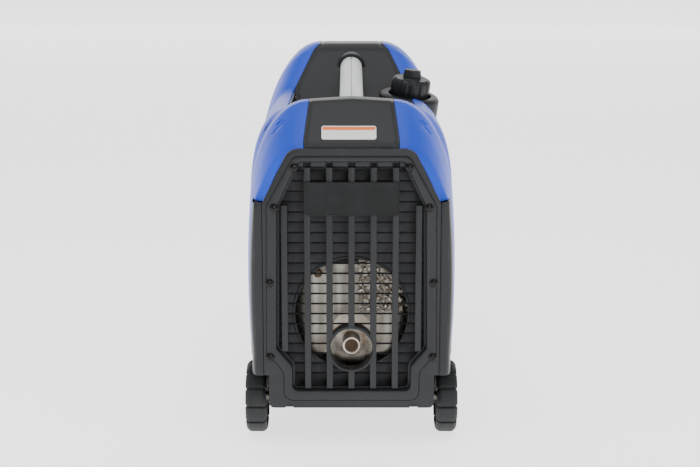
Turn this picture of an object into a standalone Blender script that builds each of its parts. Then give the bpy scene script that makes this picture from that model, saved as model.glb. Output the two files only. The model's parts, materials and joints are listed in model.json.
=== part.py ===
# Closed inverter generator on two rear wheels, with a tube handle over a recess in its top.
# Metres, +Z up, origin on the ground under the middle of the body. The exhaust end faces -Y
# and the control panel faces +Y.
import math

import bmesh
import bpy
from mathutils import Matrix, Vector

# Overall sizes
LENGTH = 0.570
WIDTH = 0.300
HEIGHT = 0.519
GAP = 0.0003
WALL = 0.003

# Heights of the body
GROUND_CLEARANCE = 0.052
TRAY_FLOOR = 0.0575
HEM_Z = 0.130
SHOULDER_DROP = 0.181
REAR_PILLAR_DROP = 0.0555
RECESS_RIM_DROP = 0.069
RECESS_DEPTH = 0.045
SIDE_BULGE = 0.004

# Pillars that carry the handle
PILLAR_HALF = 0.058
PILLAR_CROWN = 0.004
FRONT_PILLAR_HALF = 0.050
RECESS_HALF = 0.090
REAR_PILLAR_DEPTH = 0.109
FRONT_PILLAR_DEPTH = 0.210

# Rear end
FRAME_FLAT = 0.0025
FRAME_THICK = 0.008
NOTCH_HALF_INSET = 0.0374
NOTCH_TOP = 0.0985
OPENING_HALF = 0.1015
OPENING_FLOOR = 0.0775
FRAME_TOP_DROP = 0.110
OPENING_TOP_DROP = 0.1265
BAR_PITCH = 0.0295
BAR_WIDTH = 0.008
RIB_PITCH = 0.014
RIB_THICK = 0.0022
RING_Z = 0.135
RING_OUTER = 0.0325
RING_INNER = 0.0288
PLATE_SIZE = (0.127, 0.0455)
SCREW_HEAD_RADIUS = 0.0055
SCREW_SHANK_RADIUS = 0.0021

# Handle
GRIP_RADIUS = 0.017
GRIP_WALL = 0.004
HANDLE_REAR_DROP = 0.072
HANDLE_FRONT_DROP = 0.0345

# Wheels and feet
WHEEL_RADIUS = 0.050
WHEEL_WIDTH = 0.029
WHEEL_INSET = 0.0325
WHEEL_FROM_REAR = 0.062
TREAD_BLOCKS = 12
AXLE_RADIUS = 0.006
FOOT_RADIUS = 0.021

# Fuel filler
CAP_X = 0.088
CAP_Y = 0.0
CAP_RADIUS = 0.0295
CAP_HEIGHT = 0.026
CAP_BASE_DROP = 0.067
CAP_TILT_OUT = math.radians(7)
CAP_TILT_REAR = math.radians(8)
BEZEL_RADIUS = 0.0455
NECK_RADIUS = 0.019
KNOB_HALF = 0.0125

# Engine line, measured along the length from the rear end
SHAFT_Z = 0.190
SHAFT_RADIUS = 0.011
MUFFLER_FROM_REAR = 0.050
MUFFLER_SIZE = (0.170, 0.085, 0.170)
PIPE_RADIUS = 0.012
PIPE_WALL = 0.0025
SHROUD_HOLE_RADIUS = 0.088
SHROUD_HOLE_Z = 0.171
ENGINE_FROM_REAR = 0.160
STATOR_RADIUS = 0.062
PULLEY_RADIUS = 0.045
ROPE_Z = SHAFT_Z + PULLEY_RADIUS

# Control panel
PANEL_HALF = 0.104
PANEL_BOTTOM = 0.1315
PANEL_RECESS = 0.0145
PANEL_TOP_DROP = 0.099
SOCKET_RADIUS = 0.0225

# Service cover in the left side
COVER_REAR = 0.155
COVER_LENGTH = 0.190
COVER_LOW = 0.155
COVER_HIGH = 0.320

REAR = -LENGTH / 2
FRONT = LENGTH / 2
HALF_WIDTH = WIDTH / 2
SHOULDER_Z = HEIGHT - SHOULDER_DROP
REAR_TOP = HEIGHT - REAR_PILLAR_DROP
RIM_Z = HEIGHT - RECESS_RIM_DROP
RECESS_FLOOR = RIM_Z - RECESS_DEPTH
FRAME_TOP = HEIGHT - FRAME_TOP_DROP
OPENING_TOP = HEIGHT - OPENING_TOP_DROP
NOTCH_HALF = HALF_WIDTH - NOTCH_HALF_INSET
PILLAR_WALL_Y = REAR + REAR_PILLAR_DEPTH
FACE_Y = FRONT - FRONT_PILLAR_DEPTH
WHEEL_Y = REAR + WHEEL_FROM_REAR
WHEEL_X = HALF_WIDTH - WHEEL_INSET + WHEEL_WIDTH / 2

for old in list(bpy.data.objects):
    bpy.data.objects.remove(old, do_unlink=True)


def material(name, colour, roughness, metallic=0.0):
    shade = bpy.data.materials.new(name)
    shade.use_nodes = True
    shader = shade.node_tree.nodes["Principled BSDF"]
    shader.inputs["Base Color"].default_value = (*colour, 1.0)
    shader.inputs["Roughness"].default_value = roughness
    shader.inputs["Metallic"].default_value = metallic
    return shade


BLUE = ((0.045, 0.125, 0.60), 0.38, 0.0)
BLACK = ((0.035, 0.037, 0.040), 0.55, 0.0)
RUBBER = ((0.022, 0.022, 0.024), 0.85, 0.0)
LIGHT_GREY = ((0.68, 0.70, 0.68), 0.45, 0.0)
STEEL = ((0.55, 0.54, 0.52), 0.35, 1.0)
BURNT_STEEL = ((0.42, 0.36, 0.29), 0.45, 1.0)
ALUMINIUM = ((0.60, 0.61, 0.62), 0.45, 1.0)
COPPER = ((0.55, 0.25, 0.10), 0.40, 1.0)
SCREW_BLACK = ((0.012, 0.012, 0.013), 0.30, 0.6)
WHITE = ((0.80, 0.80, 0.79), 0.50, 0.0)
RED = ((0.55, 0.03, 0.02), 0.45, 0.0)


def add_object(name, bm, look, origin=(0, 0, 0)):
    bmesh.ops.recalc_face_normals(bm, faces=bm.faces)
    bm.transform(Matrix.Translation(-Vector(origin)))
    mesh = bpy.data.meshes.new(name)
    bm.to_mesh(mesh)
    bm.free()
    obj = bpy.data.objects.new(name, mesh)
    obj.location = origin
    bpy.context.scene.collection.objects.link(obj)
    mesh.materials.append(material(name, *look))
    mesh.shade_smooth()
    mesh.set_sharp_from_angle(angle=math.radians(32))
    return obj


def as_cutter(obj):
    obj.hide_render = True
    obj.display_type = "WIRE"
    return obj


def boolean(obj, other, operation="DIFFERENCE", own_overlaps=False):
    cut = obj.modifiers.new(operation.title(), "BOOLEAN")
    cut.operation = operation
    cut.solver = "EXACT"
    cut.use_self = own_overlaps
    cut.object = as_cutter(other)


def skin(bm, loops, cyclic=False):
    """Join loops of equal length side by side, and cap the ends unless the run closes on itself."""
    rings = [[bm.verts.new(point) for point in loop] for loop in loops]
    pairs = list(zip(rings, rings[1:]))
    if cyclic:
        pairs.append((rings[-1], rings[0]))
    else:
        bm.faces.new(rings[0])
        bm.faces.new(rings[-1])
    for one, two in pairs:
        for i in range(len(one)):
            j = (i + 1) % len(one)
            bm.faces.new((one[i], one[j], two[j], two[i]))


def solid(name, loops, look, cyclic=False, origin=(0, 0, 0)):
    bm = bmesh.new()
    skin(bm, loops, cyclic)
    return add_object(name, bm, look, origin)


def circle(centre, radius, axis="Z", count=32, phase=0.0):
    points = []
    for i in range(count):
        turn = phase + math.tau * i / count
        u = radius * math.cos(turn)
        v = radius * math.sin(turn)
        offset = {"X": (0, u, v), "Y": (v, 0, u), "Z": (u, v, 0)}[axis]
        points.append(Vector(centre) + Vector(offset))
    return points


def turned(name, profile, look, centre=(0, 0, 0), axis="Z", count=32, hollow=False):
    """Turn (radius, distance along the axis) points about the axis; a hollow profile closes on itself."""
    along = {"X": Vector((1, 0, 0)), "Y": Vector((0, 1, 0)), "Z": Vector((0, 0, 1))}[axis]
    loops = [circle(Vector(centre) + along * d, r, axis, count) for r, d in profile]
    return solid(name, loops, look, cyclic=hollow, origin=centre)


def box(name, low, high, look, bevel=0.0, origin=None):
    bm = bmesh.new()
    low, high = Vector(low), Vector(high)
    bmesh.ops.create_cube(bm, size=1.0)
    size = high - low
    bm.transform(Matrix.Translation((low + high) / 2) @ Matrix.Diagonal((*size, 1.0)))
    if bevel:
        bmesh.ops.bevel(bm, geom=bm.edges[:], offset=bevel, segments=2, profile=0.5, affect="EDGES")
    return add_object(name, bm, look, origin if origin else (low + high) / 2)


def rounded(corners, steps=3):
    """A closed outline through (x, z, radius) corners, with the same number of points at each corner."""
    outline = []
    for i, (x, z, radius) in enumerate(corners):
        here = Vector((x, z))
        before = (Vector(corners[i - 1][:2]) - here).normalized()
        after = (Vector(corners[(i + 1) % len(corners)][:2]) - here).normalized()
        half_angle = before.angle(after) / 2
        centre = here + (before + after).normalized() * radius / math.sin(half_angle)
        start = here + before * radius / math.tan(half_angle) - centre
        end = here + after * radius / math.tan(half_angle) - centre
        sweep = math.atan2(start.cross(end), start.dot(end))
        for step in range(steps + 1):
            turn = Matrix.Rotation(sweep * step / steps, 2)
            outline.append(centre + turn @ start)
    return outline


def mirrored(half):
    """Close a right-hand half outline, top to bottom, with its mirror image."""
    return list(half) + [(-x, z, r) for x, z, r in reversed(half)]


def grown(outline, distance):
    """Move a clockwise outline outwards by a distance, or inwards by a negative one."""
    moved = []
    count = len(outline)
    for i, point in enumerate(outline):
        run = (outline[(i + 1) % count] - outline[i - 1]).normalized()
        moved.append(point + Vector((-run.y, run.x)) * distance)
    return moved


def at_y(outline, y):
    return [Vector((p.x, y, p.y)) for p in outline]


# ---- body surface -----------------------------------------------------------------------------

def body_keys():
    """y, edge x, edge z, lead, side x, rise, lean: where the shoulder leaves the centre strip and
    how its curve runs down to the side, from the rear end to the front end."""
    half = HALF_WIDTH
    rim = RIM_Z
    return (
        (REAR + 0.010, 0.063, FRAME_TOP, 0.030, half - 0.0320, 0.024, 0.014),
        (REAR + 0.023, 0.064, FRAME_TOP + 0.008, 0.038, half - 0.0200, 0.030, 0.015),
        (REAR + 0.053, 0.061, REAR_TOP - 0.0225, 0.044, half - 0.0150, 0.045, 0.010),
        (REAR + 0.085, PILLAR_HALF, REAR_TOP, 0.050, half - 0.0110, 0.055, 0.006),
        (PILLAR_WALL_Y, PILLAR_HALF, REAR_TOP + 0.001, 0.050, half - 0.0090, 0.058, 0.004),
        (PILLAR_WALL_Y + 0.012, RECESS_HALF, rim, 0.026, half - 0.0080, 0.066, 0.001),
        (PILLAR_WALL_Y + 0.060, RECESS_HALF, rim, 0.026, half - 0.0060, 0.070, 0.000),
        (FACE_Y - 0.010, RECESS_HALF, rim, 0.026, half - 0.0058, 0.070, 0.000),
        (FACE_Y, 0.0875, rim + 0.005, 0.030, half - 0.0058, 0.072, 0.000),
        (FACE_Y + 0.055, 0.060, HEIGHT - 0.0095, 0.045, half - 0.0058, 0.085, 0.000),
        (FACE_Y + 0.075, FRONT_PILLAR_HALF, HEIGHT, 0.055, half - 0.0060, 0.085, 0.000),
        (FRONT - 0.075, FRONT_PILLAR_HALF, HEIGHT, 0.055, half - 0.0070, 0.085, 0.000),
        (FRONT - 0.045, 0.054, HEIGHT - 0.016, 0.052, half - 0.0100, 0.078, 0.002),
        (FRONT - 0.015, 0.062, HEIGHT - 0.055, 0.042, half - 0.0160, 0.055, 0.004),
    )


KEYS = body_keys()


def key_at(y):
    for one, two in zip(KEYS, KEYS[1:]):
        if y <= two[0]:
            t = max(0.0, (y - one[0]) / (two[0] - one[0]))
            return [a + (b - a) * t for a, b in zip(one, two)]
    return list(KEYS[-1])


def bezier(points, t):
    a, b, c, d = points
    s = 1.0 - t
    return a * s**3 + b * 3 * s * s * t + c * 3 * s * t * t + d * t**3


def body_outline(y, s):
    """The right-hand body surface as (x, z): s from 0 at the centre strip to 1 at the shoulder's
    foot, and on to 2 at the hem."""
    _, edge_x, edge_z, lead, side_x, rise, lean = key_at(y)
    foot = Vector((side_x, SHOULDER_Z))
    if s <= 1.0:
        lead_to = Vector((edge_x + lead, edge_z - 0.001))
        return bezier((Vector((edge_x, edge_z)), lead_to, foot + Vector((-lean, rise)), foot), s)
    t = s - 1.0
    hem_x = side_x + 0.0035
    x = foot.x + (hem_x - foot.x) * t + 4 * SIDE_BULGE * t * (1 - t)
    return Vector((x, SHOULDER_Z + (HEM_Z - SHOULDER_Z) * t))


def body_point(y, s, side, inset=0.0):
    here = body_outline(y, s)
    run = (body_outline(y, min(2.0, s + 0.01)) - body_outline(y, max(0.0, s - 0.01))).normalized()
    return Vector((side * (here.x + run.y * inset), y, here.y - run.x * inset))


def side_level(z):
    """Where a height on the side lies along the outline."""
    return 1.0 + (SHOULDER_Z - z) / (SHOULDER_Z - HEM_Z)


def patch(name, side, ys, levels, look, wall=WALL, left_out=None, origin=(0, 0, 0)):
    """A walled piece of the body surface over a grid, without the cells that left_out names."""
    bm = bmesh.new()
    outer = [[bm.verts.new(body_point(y, s, side)) for s in levels] for y in ys]
    inner = [[bm.verts.new(body_point(y, s, side, wall)) for s in levels] for y in ys]
    kept = set()
    for i in range(len(ys) - 1):
        for j in range(len(levels) - 1):
            middle = ((ys[i] + ys[i + 1]) / 2, (levels[j] + levels[j + 1]) / 2)
            if not (left_out and left_out(*middle)):
                kept.add((i, j))
    for i, j in kept:
        for grid in (outer, inner):
            bm.faces.new((grid[i][j], grid[i + 1][j], grid[i + 1][j + 1], grid[i][j + 1]))
        rims = (
            ((i, j - 1), (i, j), (i + 1, j)),
            ((i, j + 1), (i, j + 1), (i + 1, j + 1)),
            ((i - 1, j), (i, j), (i, j + 1)),
            ((i + 1, j), (i + 1, j), (i + 1, j + 1)),
        )
        for neighbour, (a, b), (c, d) in rims:
            if neighbour not in kept:
                bm.faces.new((outer[a][b], outer[c][d], inner[c][d], inner[a][b]))
    loose = [v for v in bm.verts if not v.link_faces]
    bmesh.ops.delete(bm, geom=loose, context="VERTS")
    return add_object(name, bm, look, origin)


def spread(marks, pitch):
    """Positions from the first mark to the last, through every mark, about a pitch apart."""
    places = [marks[0]]
    for low, high in zip(marks, marks[1:]):
        steps = max(1, round((high - low) / pitch))
        places += [low + (high - low) * i / steps for i in range(1, steps + 1)]
    return places


CORNER_END = REAR + 0.045
COVER_START_Y = REAR + COVER_REAR
COVER_END_Y = COVER_START_Y + COVER_LENGTH


def side_shells():
    key_ys = [key[0] for key in KEYS]
    cover_levels = (side_level(COVER_HIGH), side_level(COVER_LOW))
    for side, name in ((-1, "side_shell_left"), (1, "side_shell_right")):
        marks = sorted({*key_ys, CORNER_END, *((COVER_START_Y, COVER_END_Y) if side < 0 else ())})
        ys = spread([y for y in marks if y >= key_ys[0] + GAP], 0.045)
        levels = [GAP / 0.05, 0.12, 0.25, 0.4, 0.55, 0.7, 0.85, 1.0]
        levels += [cover_levels[0], 1.5, cover_levels[1], 2.0]

        def missing(y, s, side=side):
            corner = y < CORNER_END and s > 1.0
            beside_cover = side < 0 and COVER_START_Y < y < COVER_END_Y
            return corner or (beside_cover and cover_levels[0] < s < cover_levels[1])

        shell = patch(name, side, ys, levels, BLUE, left_out=missing)
        if side > 0:
            boolean(shell, filler_cut("filler_cut_shell"))
            boolean(shell, recoil_recess("recess_block", 0.0), "UNION")
            boolean(shell, recoil_recess("recess_cut", WALL))
            middle = (HALF_WIDTH - 0.02, RECOIL_Y, ROPE_Z)
            boolean(shell, turned("rope_hole", [(0.007, -0.04), (0.007, 0.02)], BLACK, middle, "X", 20))


def service_cover():
    ys = spread([COVER_START_Y + GAP, COVER_END_Y - GAP], 0.048)
    slack = GAP / (SHOULDER_Z - HEM_Z)
    levels = [side_level(COVER_HIGH) + slack, 1.5, side_level(COVER_LOW) - slack]
    patch("service_cover", -1, ys, levels, BLUE)


def corner_trims():
    """Black corners beside the lower rear frame, wrapping round to the sides."""
    low = NOTCH_TOP - 0.001
    top = SHOULDER_Z - 4 * GAP
    for side, name in ((-1, "rear_corner_left"), (1, "rear_corner_right")):
        loops = []
        for i in range(6):
            z = low + (top - low) * i / 5
            end_x = body_outline(CORNER_END - GAP, max(1.0, min(2.0, side_level(z)))).x
            face_x = HALF_WIDTH - 0.0305
            outside = [(face_x, REAR + 0.005), (end_x - 0.0085, REAR + 0.006), (end_x - 0.0045, REAR + 0.009),
                       (end_x - 0.002, REAR + 0.018), (end_x, CORNER_END - GAP)]
            inside = [(x - WALL * (0.9 if n > 1 else 0.0), y + WALL * (1.0 if n < 3 else 0.0))
                      for n, (x, y) in enumerate(outside)]
            loops.append([Vector((side * x, y, z)) for x, y in outside + inside[::-1]])
        solid(name, loops, BLACK)


def ribbon(name, path, look, wall=WALL, crown=0.0):
    """A crowned strip across the body along (y, z, half width) points, with its wall inside."""
    loops = []
    for i, (y, z, half) in enumerate(path):
        before = Vector(path[max(0, i - 1)][:2])
        after = Vector(path[min(len(path) - 1, i + 1)][:2])
        run = (after - before).normalized()
        drop = Vector((run.y, -run.x)) * wall
        steps = (-1.0, -0.5, 0.0, 0.5, 1.0)
        lift = [Vector((0, -run.y, run.x)) * crown * (1 - s * s) for s in steps]
        outer = [Vector((s * half, y, z)) + up for s, up in zip(steps, lift)]
        inner = [p + Vector((0, drop.x, drop.y)) for p in outer]
        loops.append(outer + inner[::-1])
    return solid(name, loops, look)


def pillar_covers():
    """Black centre strips over both pillars, each with a hole for the handle."""
    rear = [
        (REAR + 0.0103, FRAME_TOP + GAP, 0.0625),
        (REAR + 0.017, FRAME_TOP + 0.0075, 0.0622),
        (REAR + 0.085, REAR_TOP, PILLAR_HALF - GAP),
        (PILLAR_WALL_Y + 0.001, REAR_TOP + 0.0008, PILLAR_HALF - 4 * GAP),
        (PILLAR_WALL_Y + 0.0135, RIM_Z + 0.002, RECESS_HALF - 0.0180),
        (PILLAR_WALL_Y + 0.0155, RECESS_FLOOR + 0.002, RECESS_HALF - 0.0055),
    ]
    front = [
        (FACE_Y - 0.043, RECESS_FLOOR + 0.0028, RECESS_HALF - 0.0055),
        (FACE_Y, RIM_Z + 0.0045, RECESS_HALF - 0.0055),
        (FACE_Y + 0.055, HEIGHT - 0.0095, 0.060 - 2 * GAP),
        (FACE_Y + 0.075, HEIGHT, FRONT_PILLAR_HALF - GAP),
        (FRONT - 0.075, HEIGHT, FRONT_PILLAR_HALF - GAP),
        (FRONT - 0.045, HEIGHT - 0.016, 0.054 - GAP),
        (FRONT - 0.0153, HEIGHT - 0.055, 0.062 - GAP),
    ]
    for name, path in (("rear_pillar_cover", rear), ("front_pillar_cover", front)):
        cover = ribbon(name, path, BLACK, crown=PILLAR_CROWN if name.startswith("rear") else 0.0)
        boolean(cover, handle_tube(name + "_hole", GRIP_RADIUS + 2 * GAP, 0.012))
        boolean(cover, filler_cut(name + "_filler_cut"))


def tank_deck():
    """Floor and side walls of the recess under the handle."""
    half = RECESS_HALF - GAP
    wall_low = RECESS_FLOOR - WALL
    section = [(-half, RIM_Z - 0.001), (-half, wall_low), (half, wall_low), (half, RIM_Z - 0.001),
               (half - WALL, RIM_Z - 0.001), (half - WALL, RECESS_FLOOR), (WALL - half, RECESS_FLOOR),
               (WALL - half, RIM_Z - 0.001)]
    loops = [[Vector((x, y, z)) for x, z in section] for y in (PILLAR_WALL_Y + 0.0165, FACE_Y - 0.010)]
    deck = solid("tank_deck", loops, BLACK)
    boolean(deck, filler_cut("filler_cut_deck"))


# ---- handle -----------------------------------------------------------------------------------

HANDLE_START = Vector((0, PILLAR_WALL_Y - 0.012, HEIGHT - HANDLE_REAR_DROP))
HANDLE_END = Vector((0, FACE_Y + 0.062, HEIGHT - HANDLE_FRONT_DROP + 0.003))


def handle_tube(name, radius, reach):
    run = (HANDLE_END - HANDLE_START).normalized()
    up = Vector((0, -run.z, run.y))
    ends = (HANDLE_START - run * reach, HANDLE_END + run * reach)
    loops = []
    for end in ends:
        turns = [math.tau * i / 32 for i in range(32)]
        loops.append([end + Vector((math.sin(a) * radius, 0, 0)) + up * math.cos(a) * radius for a in turns])
    return solid(name, loops, STEEL)


def handle():
    """Two light grip halves round a steel core tube, meeting in a seam along the top."""
    run = (HANDLE_END - HANDLE_START).normalized()
    up = Vector((0, -run.z, run.y))
    handle_tube("handle_core", GRIP_RADIUS - GRIP_WALL - GAP, 0.014)
    for side, name in ((-1, "handle_grip_left"), (1, "handle_grip_right")):
        section = []
        for radius, order in ((GRIP_RADIUS, range(17)), (GRIP_RADIUS - GRIP_WALL, range(16, -1, -1))):
            for i in order:
                turn = math.pi * i / 16
                section.append((max(GAP / 2, math.sin(turn) * radius), math.cos(turn) * radius))
        loops = [[end + Vector((side * x, 0, 0)) + up * z for x, z in section] for end in (HANDLE_START, HANDLE_END)]
        solid(name, loops, LIGHT_GREY)


# ---- rear end ---------------------------------------------------------------------------------

def opening_outline():
    top = OPENING_TOP
    return rounded(mirrored((
        (OPENING_HALF - 0.0310, top, 0.006), (OPENING_HALF - 0.0025, top - 0.0595, 0.010),
        (OPENING_HALF, 0.137, 0.006), (OPENING_HALF - 0.0215, 0.112, 0.012),
        (OPENING_HALF - 0.0215, OPENING_FLOOR, 0.008))))


def rear_frame():
    """The screwed-on frame: a flat outer border and a raised bead round the grille opening."""
    face_half = HALF_WIDTH - 0.031
    border = rounded(mirrored((
        (face_half - 0.036, FRAME_TOP, 0.020), (face_half, SHOULDER_Z - 0.002, 0.004),
        (face_half, NOTCH_TOP, 0.0008), (NOTCH_HALF, NOTCH_TOP, 0.0008),
        (NOTCH_HALF, GROUND_CLEARANCE, 0.008))))
    bead = rounded(mirrored((
        (OPENING_HALF - 0.0245, OPENING_TOP + 0.0065, 0.012), (OPENING_HALF + 0.011, OPENING_TOP - 0.0585, 0.012),
        (OPENING_HALF + 0.013, 0.131, 0.008), (OPENING_HALF - 0.010, 0.104, 0.014),
        (OPENING_HALF - 0.010, OPENING_FLOOR - 0.0135, 0.012))))
    opening = opening_outline()
    flat = REAR + FRAME_FLAT
    back = flat + FRAME_THICK
    loops = [
        at_y(border, back), at_y(border, flat + 0.001), at_y(grown(border, -0.001), flat),
        at_y(bead, flat), at_y(grown(bead, -0.0015), REAR), at_y(grown(opening, 0.0025), REAR),
        at_y(grown(opening, 0.0008), flat), at_y(opening, flat + 0.001), at_y(opening, back),
    ]
    frame = solid("rear_frame", loops, BLACK, cyclic=True)
    bm = bmesh.new()
    for x, z in screw_places():
        skin(bm, [circle((x, y, z), SCREW_SHANK_RADIUS + GAP, "Y", 12) for y in (REAR - 0.01, back + 0.01)])
    boolean(frame, add_object("screw_holes", bm, BLACK))


def screw_places():
    """Four each side: two on the slope, two down the upright."""
    right = ((OPENING_HALF - 0.0255, OPENING_TOP - 0.0075), (OPENING_HALF + 0.0015, OPENING_TOP - 0.0615),
             (OPENING_HALF + 0.0085, OPENING_FLOOR + 0.151), (OPENING_HALF + 0.0085, OPENING_FLOOR + 0.0475))
    return [(side * x, z) for side in (-1, 1) for x, z in right]


def rear_screws():
    for number, (x, z) in enumerate(screw_places(), 1):
        head = SCREW_HEAD_RADIUS
        profile = [(head * 0.45, -0.0032), (head * 0.85, -0.0024), (head, -0.0010), (head, -GAP),
                   (SCREW_SHANK_RADIUS, -GAP), (SCREW_SHANK_RADIUS, 0.0095)]
        turned("rear_screw_%d" % number, profile, SCREW_BLACK, (x, REAR, z), "Y", 16)


def rear_grille():
    """Upright bars over thin cross ribs on a flange behind the frame, with the outlet collar."""
    flange_front = REAR + FRAME_FLAT + FRAME_THICK + GAP
    flange_back = flange_front + 0.0045
    bar_front = REAR + 0.0038
    opening = opening_outline()
    bm = bmesh.new()
    skin(bm, [at_y(grown(opening, 0.006), flange_front), at_y(grown(opening, -0.003), flange_front),
              at_y(grown(opening, -0.003), flange_back), at_y(grown(opening, 0.006), flange_back)], cyclic=True)
    grille = add_object("rear_grille", bm, BLACK)

    bm = bmesh.new()
    low_bar, high_bar = OPENING_FLOOR + 0.0015, OPENING_TOP - 0.0015
    for n in range(-2, 3):
        add_bar(bm, (n * BAR_PITCH, low_bar, high_bar), bar_front, flange_back - 0.0005)
    for side in (-1, 1):
        add_bar(bm, (side * 0.090, 0.132, OPENING_TOP - 0.0535), bar_front, flange_back - 0.0005)
    z = OPENING_TOP - 0.0135
    while z > OPENING_FLOOR + RIB_PITCH:
        reach = opening_half_at(opening, z) + 0.0015
        add_block(bm, (-reach, flange_front + 0.0006, z - RIB_THICK / 2),
                  (reach, flange_back - 0.0012, z + RIB_THICK / 2))
        z -= RIB_PITCH
    lattice = add_object("grille_lattice", bm, BLACK)
    boolean(grille, lattice, "UNION", own_overlaps=True)
    clear = turned("collar_clear", [(RING_OUTER - 0.001, -0.02), (RING_OUTER - 0.001, 0.03)], BLACK,
                   (0, REAR, RING_Z), "Y", 40)
    boolean(grille, clear)
    collar = turned("collar", [(RING_OUTER, bar_front - REAR - 0.0006), (RING_OUTER, 0.024),
                               (RING_INNER, 0.024), (RING_INNER, bar_front - REAR - 0.0006)], BLACK,
                    (0, REAR, RING_Z), "Y", 40, hollow=True)
    boolean(grille, collar, "UNION")

    width, height = PLATE_SIZE
    top = OPENING_TOP - 0.027
    box("grille_plate", (-width / 2, bar_front - 0.0028, top - height), (width / 2, bar_front - GAP, top),
        BLACK, 0.0008)


def add_block(bm, low, high):
    corners = [(0, 0), (1, 0), (1, 1), (0, 1)]
    ends = (low, high)
    skin(bm, [[Vector((ends[a][0], ends[b][1], end[2])) for a, b in corners] for end in ends])


def add_bar(bm, place, front, back):
    x, low, high = place
    half = BAR_WIDTH / 2
    add_block(bm, (x - half, front, low), (x + half, back, high))


def opening_half_at(outline, z):
    """Half width of the opening at a height, along its straight or curved edge."""
    crossings = []
    for one, two in zip(outline, outline[1:] + outline[:1]):
        if min(one.y, two.y) <= z <= max(one.y, two.y) and one.y != two.y:
            crossings.append(abs(one.x + (two.x - one.x) * (z - one.y) / (two.y - one.y)))
    return max(crossings)


def muffler_group():
    """Inner panel with its round window, the silencer, its outlet pipe and the spark screen."""
    y = REAR + 0.033
    half = NOTCH_HALF - 0.0045
    low, top = TRAY_FLOOR + 0.0045, OPENING_TOP + 0.004
    top_half = min(half - 0.018, body_outline(y, 0.5).x - 0.010)
    outline = [(-half, low), (half, low), (half, top - 0.050), (top_half, top), (-top_half, top),
               (-half, top - 0.050)]
    panel = solid("muffler_shroud", [[Vector((x, y + d, z)) for x, z in outline] for d in (0, WALL)], BLACK)
    hole = turned("shroud_hole", [(SHROUD_HOLE_RADIUS, -0.02), (SHROUD_HOLE_RADIUS, 0.02)], BLACK,
                  (0, y, SHROUD_HOLE_Z), "Y", 48)
    boolean(panel, hole)
    width, depth, height = MUFFLER_SIZE
    front = REAR + MUFFLER_FROM_REAR
    low = SHROUD_HOLE_Z - height / 2
    body = box("muffler", (-width / 2, front, low), (width / 2, front + depth, low + height), STEEL, 0.016)
    bore = turned("outlet_hole", [(PIPE_RADIUS + GAP, -0.02), (PIPE_RADIUS + GAP, 0.03)], STEEL,
                  (0, front, RING_Z), "Y", 32)
    boolean(body, bore)
    pipe_start = REAR + 0.0215
    turned("outlet_pipe", [(PIPE_RADIUS, 0), (PIPE_RADIUS, 0.055), (PIPE_RADIUS - PIPE_WALL, 0.055),
                           (PIPE_RADIUS - PIPE_WALL, 0)], BURNT_STEEL, (0, pipe_start, RING_Z), "Y", 32, hollow=True)
    screen = PIPE_RADIUS - PIPE_WALL - GAP
    turned("spark_arrestor", [(screen, 0), (screen, 0.022), (screen - 0.001, 0.022), (screen - 0.001, 0.0015),
                              (0.0006, 0.0015), (0.0006, 0)], BURNT_STEEL, (0, pipe_start + 0.0015, RING_Z), "Y",
           24, hollow=True)


# ---- base, wheels and feet --------------------------------------------------------------------

def base_tray():
    """The black lower body: a lofted tub with a well for each wheel and lugs for the axle."""
    places = spread([REAR + 0.0165, CORNER_END, REAR + 0.12, 0.0, FRONT - 0.06, FRONT - 0.0155], 0.09)
    loops = []
    for y in places:
        top = body_outline(y, 2.0).x
        half = [(top, HEM_Z - GAP), (top - 0.001, 0.095), (top - 0.010, 0.070), (top - 0.024, TRAY_FLOOR)]
        right = [Vector((x, y, z)) for x, z in half]
        loops.append(right + [Vector((-p.x, p.y, p.z)) for p in reversed(right)])
    tray = solid("base_tray", loops, BLACK)
    inner = NOTCH_HALF - WALL
    floor = TRAY_FLOOR + 0.004
    well_end = WHEEL_Y + WHEEL_RADIUS + 0.008
    boolean(tray, box("tray_hollow_rear", (-inner, REAR - 0.01, floor), (inner, well_end + 0.02, 0.2), BLACK))
    full = HALF_WIDTH - 0.034
    boolean(tray, box("tray_hollow", (-full, well_end + WALL, floor), (full, FRONT - 0.019, 0.2), BLACK))
    for side in (-1, 1):
        ends = sorted((side * NOTCH_HALF, side * (HALF_WIDTH + 0.02)))
        well = box("wheel_well", (ends[0], REAR - 0.01, 0.0), (ends[1], well_end, 2 * WHEEL_RADIUS + 0.0035), BLACK)
        boolean(tray, well)
        boolean(tray, box("corner_room", (ends[0], REAR - 0.01, 0.0), (ends[1], CORNER_END + GAP, 0.2), BLACK))
        lug = sorted((side * (NOTCH_HALF - 0.0002), side * (NOTCH_HALF - 0.006)))
        boolean(tray, box("axle_lug", (lug[0], WHEEL_Y - 0.014, WHEEL_RADIUS - 0.013),
                          (lug[1], WHEEL_Y + 0.014, TRAY_FLOOR + 0.002), BLACK), "UNION")
    hole = turned("axle_hole", [(AXLE_RADIUS + GAP, -0.2), (AXLE_RADIUS + GAP, 0.2)], BLACK,
                  (0, WHEEL_Y, WHEEL_RADIUS), "X", 24)
    boolean(tray, hole)


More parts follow.
